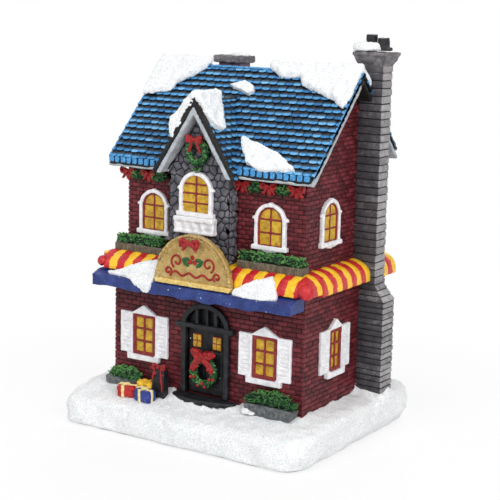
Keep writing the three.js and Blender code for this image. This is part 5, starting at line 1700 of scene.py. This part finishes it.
# The right window box and its greens are wider than the moulded ones
def boxGreens(node, count, seed, long=1.05, wide=0.34):
    core = puffed(cast(node, node + "_core", 0.42, 0.35, 1.6, 2, seed), -0.45)
    paint(oneTone(core, 0.2), leafShade)
    leaves = leaved(node + "_leaves", core, count, long, wide, 0.75, int(seed),
                    lambda face: face.normal.z > -0.2)
    piece = joined(node + "_sprigs", [core, leaves])
    if "right" in node:
        low, high = boxOf(node)
        places = points(piece)
        if "planter" in node:
            # the planter's greens heap up in the middle
            share = np.abs(2 * (places[:, 0] - low.x) / (high.x - low.x) - 1)
            places[:, 2] = low.z + (places[:, 2] - low.z) * (0.86 - 0.45 * share ** 2.0)
        else:
            places[:, 0] = high.x + 0.3 + (places[:, 0] - high.x) * 1.12
        setPoints(piece, places)
    return dress(piece, "foliage_paint", node)


# Planks are marked by grooves in the front. The window boxes are deeper than the moulded ones, and
# the planter is narrower at its foot.
def trough(node, material, seed, planks=1.5):
    piece = cast(node, node + "_planks", 0.3, 0.1, 2.0, 2, seed)
    places = points(piece)
    low, high = boxOf(node)
    if "window" in node:
        places[:, 2] = low.z - 0.7 + (places[:, 2] - low.z) * 1.6
        if "right" in node:
            places[:, 0] = high.x + 0.5 + (places[:, 0] - high.x) * 1.13
    phase = np.abs(((places[:, 0] + places[:, 1] * 0.2) / planks) % 1 - 0.5) * 2
    if "planter" in node:
        rise = np.clip((places[:, 2] - low.z) / (high.z - low.z), 0, 1)
        middle = (low.x + high.x) / 2
        places[:, 0] = middle + (places[:, 0] - middle) * (0.86 + 0.14 * rise ** 0.7)
    side = (places[:, 1] < low.y + 0.5) & (places[:, 2] < high.z - 0.35)
    places[:, 1] += np.where(side, 0.3 * np.clip((phase - 0.72) * 4, 0, 1), 0)
    setPoints(piece, places)
    return dress(paint(piece, material), "trough_paint", node)


# A ring of leaf clumps in the front plane
def wreathRing(name, centre, radius, tube, count, seed, berries):
    x, y, z = centre
    bpy.ops.mesh.primitive_torus_add(
        major_radius=radius * mm, minor_radius=tube * 0.78 * mm, major_segments=40, minor_segments=12,
        location=(x * mm, y * mm, z * mm), rotation=(math.pi / 2, 0, 0))
    core = bpy.context.active_object
    settle(core)
    uneven(core, 0.3, 1.1, seed)
    core.data.shade_smooth()
    paint(oneTone(core, 0.25), leafGreen)
    leaves = leaved(name, core, count, 0.8, 0.42, 0.85, seed, lambda face: face.normal.y < 0.3)
    pieces = [core, leaves]
    for step in range(berries):
        angle = -math.pi * 1.05 + 1.1 * math.pi * step / berries + 0.2 * math.sin(step * 2.3)
        reach = radius + (0.5 if step % 2 else -0.35) * tube
        spot = (x + reach * math.cos(angle), y - tube * 0.85, z + reach * math.sin(angle))
        berry = lump(spot, (0.55, 0.5, 0.55))
        berry.data.shade_smooth()
        pieces.append(paint(oneTone(berry, 0.5), ribbonRed))
    return joined(name, pieces)


# The door wreath's bow has fuller loops than the others and short, wide tails
def doorWreath():
    low, high = boxOf("door_wreath")
    x, back = (low.x + high.x) / 2, high.y
    ring = wreathRing("door_wreath_sprigs", (x, back - 1.35, low.z + 5.2), 3.8, 1.35, 220, 11, 8)
    top = low.z + 5.2 + 4.4
    # how far out, forward and up each fold lies, its radii and how it leans
    folds = (
        (2.3, 1.9, 1.4, (2.2, 0.9, 1.5), -0.1),
        (3.3, 2.1, 1.6, (1.1, 0.85, 1.45), 0.25),
        (1.9, 2.5, 2.2, (1.7, 0.6, 0.5), -0.2),
        (1.9, 2.5, 0.7, (1.7, 0.6, 0.45), 0.2),
    )
    parts = [lump((x, back - 2.3, top + 0.8), (0.9, 0.75, 1.0))]
    for side in (-1, 1):
        for out, forward, up, radii, lean in folds:
            parts.append(lump((x + side * out, back - forward, top + up), radii, (0, side * lean, 0)))
        for step in range(5):
            share = (step + 0.3) / 5
            spot = (x + side * (0.9 + 2.7 * share), back - 2.4, top - 3.4 * share)
            parts.append(lump(spot, (1.35, 0.6, 1.1), (0, side * 0.8, 0)))
    knot = paint(moulded("knot", parts, 0.2, 1, 0.42, 0.85, 3.0), ribbonRed)
    places = points(knot)
    places[:, 1] += foldsAt(places, 0.5, 2.2) * 0.35
    places[:, 1] = np.maximum(places[:, 1], low.y - 0.1)
    setPoints(knot, places)
    piece = joined("door_wreath_sprigs", [ring, knot])
    dress(piece, "foliage_paint", "door_wreath")


def dormerWreath():
    low, high = boxOf("dormer_wreath")
    x = (low.x + high.x) / 2
    centre = (x + 0.5, high.y - 1.2, low.z + 4.0)
    ring = wreathRing("dormer_wreath_sprigs", centre, 3.2, 1.15, 210, 12, 0)
    knot = bow(6.2, (x - 0.1, high.y - 2.0, low.z + 8.0), 0.75, 0.6, 2.0)
    dress(joined("dormer_wreath_sprigs", [ring, knot]), "foliage_paint", "dormer_wreath")
    # the dab of green that lies on the casing's crown
    low, high = boxOf("dormer_window")
    core = lump(((low.x + high.x) / 2, low.y + 0.5, high.z - 1.1), (1.3, 0.5, 0.4))
    sprig = leaved("crown_sprig", core, 16, 1.0, 0.4, 0.8, 5)
    discard(core)
    dress(sprig, "foliage_paint")


# Bows and greens in turn, at distances from the outer corner
def garland(side, order, seed):
    node = "garland_" + side
    low, high = boxOf(node)
    corner = high.x - 0.3 if side == "right" else low.x + 0.7
    toward = -1 if side == "right" else 1
    y, z = (low.y + high.y) / 2, (low.z + high.z) / 2 + 0.3
    pieces = []
    for kind, offset in order:
        x = corner + toward * offset
        if kind == "bow":
            pieces.append(bow(5.9, (x, y - 0.1, z + 0.3), 1.0, 0.38, offset))
            pieces.append(paint(lump((x, y + 0.2, z - 1.4), (0.9, 0.6, 1.3)), ribbonRed))
        else:
            core = paint(oneTone(lump((x, y, z - 0.5), (2.7, 0.9, 1.35)), 0.2), leafShade)
            pieces += [core, leaved(node, core, 120, 0.95, 0.36, 0.7, seed + int(offset))]
    piece = joined(node + "_swags", pieces)
    dress(piece, "foliage_paint", node)


for seed, node in enumerate(("left_box_greens", "right_box_greens")):
    boxGreens(node, 430, 30 + seed)
    trough(node.replace("box_greens", "window_box"), troughWood, 3.0 + seed)
doorWreath()
dormerWreath()
garland("left", [("bow", 0.6), ("green", 4.6), ("bow", 8.7), ("green", 12.7)], 50)
garland("right", [("bow", 1.9), ("green", 6.2), ("bow", 11.4), ("green", 16.4), ("bow", 20.8)], 60)
boxGreens("right_planter_greens", 300, 41.0, 1.9, 0.27)
trough("right_planter", troughDark, 8.0, 2.4)


def leftPlanter():
    low, high = boxOf("left_planter")
    rim = low.z + 2.5
    tub = cast("left_planter", "left_planter_tub", 0.36, 0.25, 1.8, 2, 9.0)
    places = points(tub)
    places[:, 2] = np.minimum(places[:, 2], rim + 0.15 * np.sin(places[:, 0] * 2))
    setPoints(tub, places)
    paint(oneTone(tub, 0.4), troughDark)
    centre = (low + high) / 2
    radii = ((high.x - low.x) / 2 - 0.8, 1.5, 2.7)
    mound = lump((centre.x + 0.4, centre.y + 0.2, rim + 0.6), radii, level=4)
    uneven(mound, 0.5, 1.5)
    paint(oneTone(mound, 0.2), leafShade)
    leaves = leaved("strands", mound, 420, 1.4, 0.28, 0.85, 70, lambda face: face.normal.z > -0.3)
    dress(joined("left_planter_sprigs", [tub, mound, leaves]), "foliage_paint", "left_planter")


leftPlanter()
print("greenery planted")


# Snow patches: puffed copies of the CAD patches with a gritty surface

drift = {"voxel": 0.34, "puff": 0.25, "wave": 0.45, "waveSize": 2.8, "grit": 0.2, "gritSize": 0.62}


def gritty(piece, seed, wave, *replaced):
    places = points(piece)
    offset = Vector((seed, -seed, seed * 0.5))
    broad = driftAt(places, drift["waveSize"], offset) * wave
    fine = driftAt(places, drift["gritSize"], -offset) * drift["grit"]
    setPoints(piece, places + broad + fine)
    piece.data.shade_smooth()
    dress(paint(piece, snow), "snow_resin", *replaced)


def snowPatch(node, seed, wave, smoothing=4):
    piece = cast(node, node + "_drift", drift["voxel"], 0.0, 2.0, smoothing, seed)
    gritty(puffed(piece, drift["puff"]), seed, wave, node)


# Snow modelled from a few merged parts
def snowFrom(name, parts, smoothing, seed, wave, *replaced):
    gritty(moulded(name, parts, drift["voxel"], smoothing, 0.0, 1.0), seed, wave, *replaced)


def heap(name, seed, lumps):
    parts = [lump(centre, radii, level=3) for centre, radii in lumps]
    snowFrom(name, parts, 3, seed, drift["wave"])


def looseSnow():
    low, high = boxOf("main_chimney")
    foot = low.z + 1.4
    heap("chimney_foot_snow", 5.0, [
        ((high.x - 0.6, low.y + 1.0, foot - 0.6), (2.1, 2.2, 2.4)),
        ((high.x - 0.9, low.y + 4.2, foot), (2.0, 3.0, 3.0)),
        ((high.x - 1.6, high.y + 0.1, foot - 0.2), (2.8, 1.9, 2.6)),
        ((high.x - 5.5, low.y - 0.3, foot - 0.9), (3.2, 1.5, 1.9)),
    ])
    low, high = boxOf("rear_chimney")
    x, y = (low.x + high.x) / 2, (low.y + high.y) / 2
    heap("rear_chimney_snow", 6.0, [
        ((x + 1.8, y + 0.8, high.z + 0.1), (3.3, 3.0, 1.2)),
        ((x - 2.0, y + 1.2, high.z - 0.2), (2.6, 2.3, 0.9)),
    ])
    low = boxOf("right_planter")[0]
    heap("planter_foot_snow", 8.0, [
        ((low.x + 0.6, low.y + 0.3, low.z + 0.9), (2.0, 1.2, 1.1)),
        ((low.x + 2.9, low.y - 0.1, low.z + 0.6), (1.6, 0.9, 0.7)),
    ])


# A slab of snow on a slope: its outline is given on the slope, and it reaches above and below it
def slab(outline, normal, above, below):
    normal = Vector(normal).normalized()
    top = [(Vector(spot) + normal * above) * mm for spot in outline]
    return solid(top, normal * (-(above + below) * mm))


def dormerSnow():
    # a patch on the right slope, a tail that hangs down in front, and lumps along the ridge
    right = [(-1.6, -27.0, 105.3), (-3.0, -15.0, 107.6), (-1.9, -13.2, 105.8), (-0.8, -15.0, 104.4),
             (1.1, -17.0, 101.6), (3.6, -19.4, 97.8), (4.9, -21.2, 95.9), (4.4, -23.4, 96.6),
             (2.9, -25.0, 99.0), (0.0, -26.4, 103.4)]
    tail = [(-5.8, 104.6), (-8.0, 101.6), (-10.6, 99.3), (-11.0, 96.6), (-10.7, 93.6), (-10.0, 92.4),
            (-5.4, 99.0), (-1.75, 104.7), (-1.8, 106.6), (-3.0, 107.2)]
    parts = [
        slab(right, (math.sin(dormerPitch), 0, math.cos(dormerPitch)), 1.5, 1.8),
        plate(tail, -26.9, -22.6),
    ]
    for step in range(8):
        y = -25.5 + step * 1.5
        parts.append(lump((-1.9, y, 106.0), (2.0, 1.9, 1.8 - 0.04 * step), level=3))
    snowFrom("dormer_snow_drift", parts, 5, 4.0, 0.5, "dormer_snow")


# The section of the beam and the awning from below to the wall, in y and z
awningSection = np.array([
    (-31.35, 43.0), (-31.35, 48.4), (-31.0, 48.9), (-28.9, 49.9), (-28.6, 50.6), (-28.5, 51.5),
    (-28.1, 52.7), (-27.3, 53.7), (-25.8, 54.7), (-23.9, 55.5), (-21.6, 55.95), (-19.2, 56.1),
])


def onSection(distance):
    steps = np.hypot(*np.diff(awningSection, axis=0).T)
    along = np.concatenate([[0], np.cumsum(steps)])
    return np.column_stack([np.interp(distance, along, awningSection[:, 0]),
                            np.interp(distance, along, awningSection[:, 1])])


# Carries a sheet drawn in x and in distance along the section onto the awning and beam
def draped(node, outline, seed):
    piece = remeshed(plate(outline, -0.9, 0.7), drift["voxel"], 4)
    places = points(piece)
    here = onSection(places[:, 2])
    run = onSection(places[:, 2] + 0.6) - onSection(places[:, 2] - 0.6)
    run /= np.maximum(np.linalg.norm(run, axis=1), 0.001)[:, None]
    out = -places[:, 1]
    places[:, 1] = here[:, 0] - run[:, 1] * out
    places[:, 2] = here[:, 1] + run[:, 0] * out
    setPoints(piece, places)
    piece.name = node + "_drift"
    gritty(piece, seed, 0.35, node)


def frontSlab(outline, above, below):
    return slab(outline, (0, -math.sin(roof["pitch"]), math.cos(roof["pitch"])), above, below)


snowPatch("roof_snow_left", 1.0, drift["wave"])
snowPatch("roof_snow_right", 2.0, drift["wave"])
lowerPatch = [(8.4, -16.4, 93.0), (9.4, -15.7, 93.7), (13.3, -16.8, 92.6), (18.2, -17.8, 91.5),
              (24.0, -19.2, 90.1), (28.6, -21.5, 87.7), (31.1, -22.2, 86.9), (31.3, -22.9, 86.0),
              (25.1, -23.3, 85.6), (22.9, -23.4, 85.4), (18.6, -23.3, 85.6), (14.1, -22.1, 87.1)]
snowFrom("roof_snow_lower_drift", [frontSlab(lowerPatch, 1.1, 1.2)], 3, 3.0, 0.4, "roof_snow_lower")
# the small patch where the dormer's ridge runs into the slope
junction = [(-5.5, -2.0, 107.8), (-0.5, -0.6, 109.3), (3.3, -1.9, 108.0), (4.2, -3.2, 106.5),
            (2.6, -4.2, 105.6), (-1.2, -3.0, 106.8)]
snowFrom("valley_snow", [frontSlab(junction, 1.0, 1.5)], 3, 7.0, 0.3)
dormerSnow()
draped("awning_snow_left", [
    (-31.5, 7.6), (-26, 9.9), (-20, 12.4), (-14.3, 14.2), (-13.1, 13.6), (-13.1, 7.6), (-13.6, 4.6),
    (-14.5, 2.4), (-16.2, 2.5), (-18.4, 4.0), (-21.2, 5.6), (-25, 6.4), (-31.5, 6.9)], 5.0)
draped("awning_snow_right", [
    (15.4, 8.3), (18.0, 10.3), (23.0, 12.5), (27.0, 14.4), (28.6, 12.6), (30.9, 7.4), (30.0, 6.4),
    (25.5, 5.7), (20.0, 5.7), (15.4, 6.2)], 6.0)
snowPatch("chimney_snow", 7.0, 0.4, 3)
looseSnow()
print("snow fallen")


# Presents and post box

# Each parcel's width and depth, its turn, its height above the snow and where its bow sits
parcels = {
    "present_red": (5.9, 4.5, 0.3, 1.6, -0.9),
    "present_yellow": (6.2, 3.1, -0.05, 2.9, 0.3),
    "present_blue": (6.2, 4.0, -0.15, 1.7, -0.5),
}


def ribboned(node, wrap, ribbon, seed):
    low, high = boxOf(node)
    width, depth, turn, tall, bowAt = parcels[node]
    foot, top = low.z, boxOf("ground_slab")[1].z + tall
    body = block((-width / 2, -depth / 2, foot), (width / 2, depth / 2, top), 0.5, 3)
    paint(softened(body, 0.26, 0, 0.34, 1.5, seed), wrap)
    bands = [
        block((bowAt - 0.5, -depth / 2 - 0.25, foot), (bowAt + 0.5, depth / 2 + 0.25, top + 0.25)),
        block((-width / 2 - 0.25, -0.5, foot), (width / 2 + 0.25, 0.5, top + 0.25)),
        *[lump((bowAt + side * 0.8, 0, top + 0.35), (0.95, 0.6, 0.4), (0, -side * 0.3, 0))
          for side in (-1, 1)],
        lump((bowAt, 0, top + 0.3), (0.45, 0.5, 0.4)),
    ]
    bands = paint(moulded("bands", bands, 0.2, 1, 0.16, 1.0, seed + 1), ribbon)
    piece = joined(node.replace("present_", "") + "_parcel", [body, bands])
    return moved(piece, shifted((low.x + high.x) / 2 + 0.6, (low.y + high.y) / 2, 0, turn))


def presents():
    dress(ribboned("present_red", wrapRed, ribbonCream, 1.0), "red_paint", "present_red")
    yellow = uneven(ribboned("present_yellow", wrapYellow, ribbonGold, 2.0), 0.3, 0.8, 3.0)
    dress(yellow, "yellow_paint", "present_yellow")
    dress(ribboned("present_blue", wrapBlue, ribbonCream, 3.0), "blue_paint", "present_blue")


def postBox():
    low, high = boxOf("post_box")
    x, half, front = (low.x + high.x) / 2, (high.x - low.x) / 2, low.y
    body = paint(cast("post_box", "post_box_casting", 0.26, 0.1, 1.6, 1, 3.0), soot)
    rim = [plate(archBand(half + 0.05, 0.75, low.z, high.z - half), front - 0.3, front + 0.8)]
    rim = movedAcross(paint(moulded("rim", rim, 0.2, 1, 0.1, 1.2, 4.0), soot), x)
    # a bow on the crown, and one tail down each side
    knot = bow(5.0, (x + 0.1, front + 0.3, high.z - 0.3), 0.95, 0.5, 5.0)
    tails = [
        lump((x + half * 0.62, front - 0.35, high.z - 4.6), (0.42, 0.3, 4.0), (0, -0.08, 0)),
        lump((x - half * 0.75, front - 0.3, high.z - 2.6), (0.5, 0.3, 2.0), (0, 0.22, 0)),
    ]
    tails = paint(moulded("tails", tails, 0.18, 1, 0.14, 1.2, 6.0), ribbonRed)
    dress(joined("post_box_casting", [body, rim, knot, tails]), "black_paint", "post_box")


# Light unit: the CAD shapes stay, and only take their materials
inside = {"light_housing": blackAbs, "battery_cover": blackAbs, "switch_knob": blackAbs,
          "cover_screw": steel, "coin_cell": steel, "lamp": epoxy}

presents()
postBox()
for node, material in inside.items():
    paint(nodes[node], material)
print("presents laid out")


# Floor and light

# Each light's place, size and watts; all of them point at the middle of the shop
stage = {"floor": 9000, "sky": 0.43, "near": 60, "far": 150, "aim": 55,
         "key": (-70, -600, 520, 300, 1.65), "side": (560, -330, 420, 420, 2.45),
         "rear": (-200, 560, 420, 400, 1.2), "top": (40, -60, 640, 500, 0.6)}


# Whether the camera sees a surface, straight or in a shiny one, so that the white needs no light
def seenDirectly(holder):
    path = addNode(holder, "ShaderNodeLightPath").outputs
    return sums(holder, "MAXIMUM", path["Is Camera Ray"], path["Is Glossy Ray"])


def shown(holder, end, share, first, second):
    links = {0: share, 1: first.outputs[0], 2: second.outputs[0]}
    blend = addNode(holder, "ShaderNodeMixShader", links=links).outputs[0]
    holder.node_tree.links.new(blend, holder.node_tree.nodes[end].inputs["Surface"])


def whiteFloor():
    bpy.ops.mesh.primitive_plane_add(size=stage["floor"] * mm, location=(0, 0, 0))
    floor = bpy.context.active_object
    floor.name = "floor"
    settle(floor)
    material, shader = newMaterial("paperSweep", 0.9)
    tint(material, shader, ramp(material, grain(material, 8.0), [(0.3, "f4f4f4"), (0.7, "f8f8f8")]))
    glow = addNode(material, "ShaderNodeEmission", {"Color": (1, 1, 1, 1), "Strength": 1.0})
    reach = addNode(material, "ShaderNodeVectorMath", links={0: placeOn(material)}, operation="LENGTH")
    span = {"From Min": stage["near"] * mm, "From Max": stage["far"] * mm, "To Min": 0.8, "To Max": 1.0}
    fade = addNode(material, "ShaderNodeMapRange", span, {"Value": reach.outputs["Value"]}).outputs[0]
    share = sums(material, "MULTIPLY", seenDirectly(material), fade)
    shown(material, "Material Output", share, shader, glow)
    return paint(floor, material)


def softLight(name):
    x, y, z, size, watts = stage[name]
    lamp = bpy.data.lights.new(name, "AREA")
    lamp.shape = "DISK"
    lamp.size = size * mm
    lamp.energy = watts
    holder = placed(name, lamp)
    spot = Vector((x, y, z)) * mm
    aim = (Vector((0, 0, stage["aim"])) * mm - spot).to_track_quat("-Z", "Y")
    holder.matrix_world = Matrix.Translation(spot) @ aim.to_matrix().to_4x4()
    return holder


def whiteWorld():
    world = bpy.data.worlds.new("studio")
    bpy.context.scene.world = world
    world.use_nodes = True
    white = (1, 1, 1, 1)
    sky = world.node_tree.nodes["Background"]
    sky.inputs["Color"].default_value = white
    sky.inputs["Strength"].default_value = stage["sky"]
    backdrop = addNode(world, "ShaderNodeBackground", {"Color": white})
    shown(world, "World Output", seenDirectly(world), sky, backdrop)


whiteFloor()
[softLight(name) for name in ("key", "side", "rear", "top")]
whiteWorld()
print("studio set")
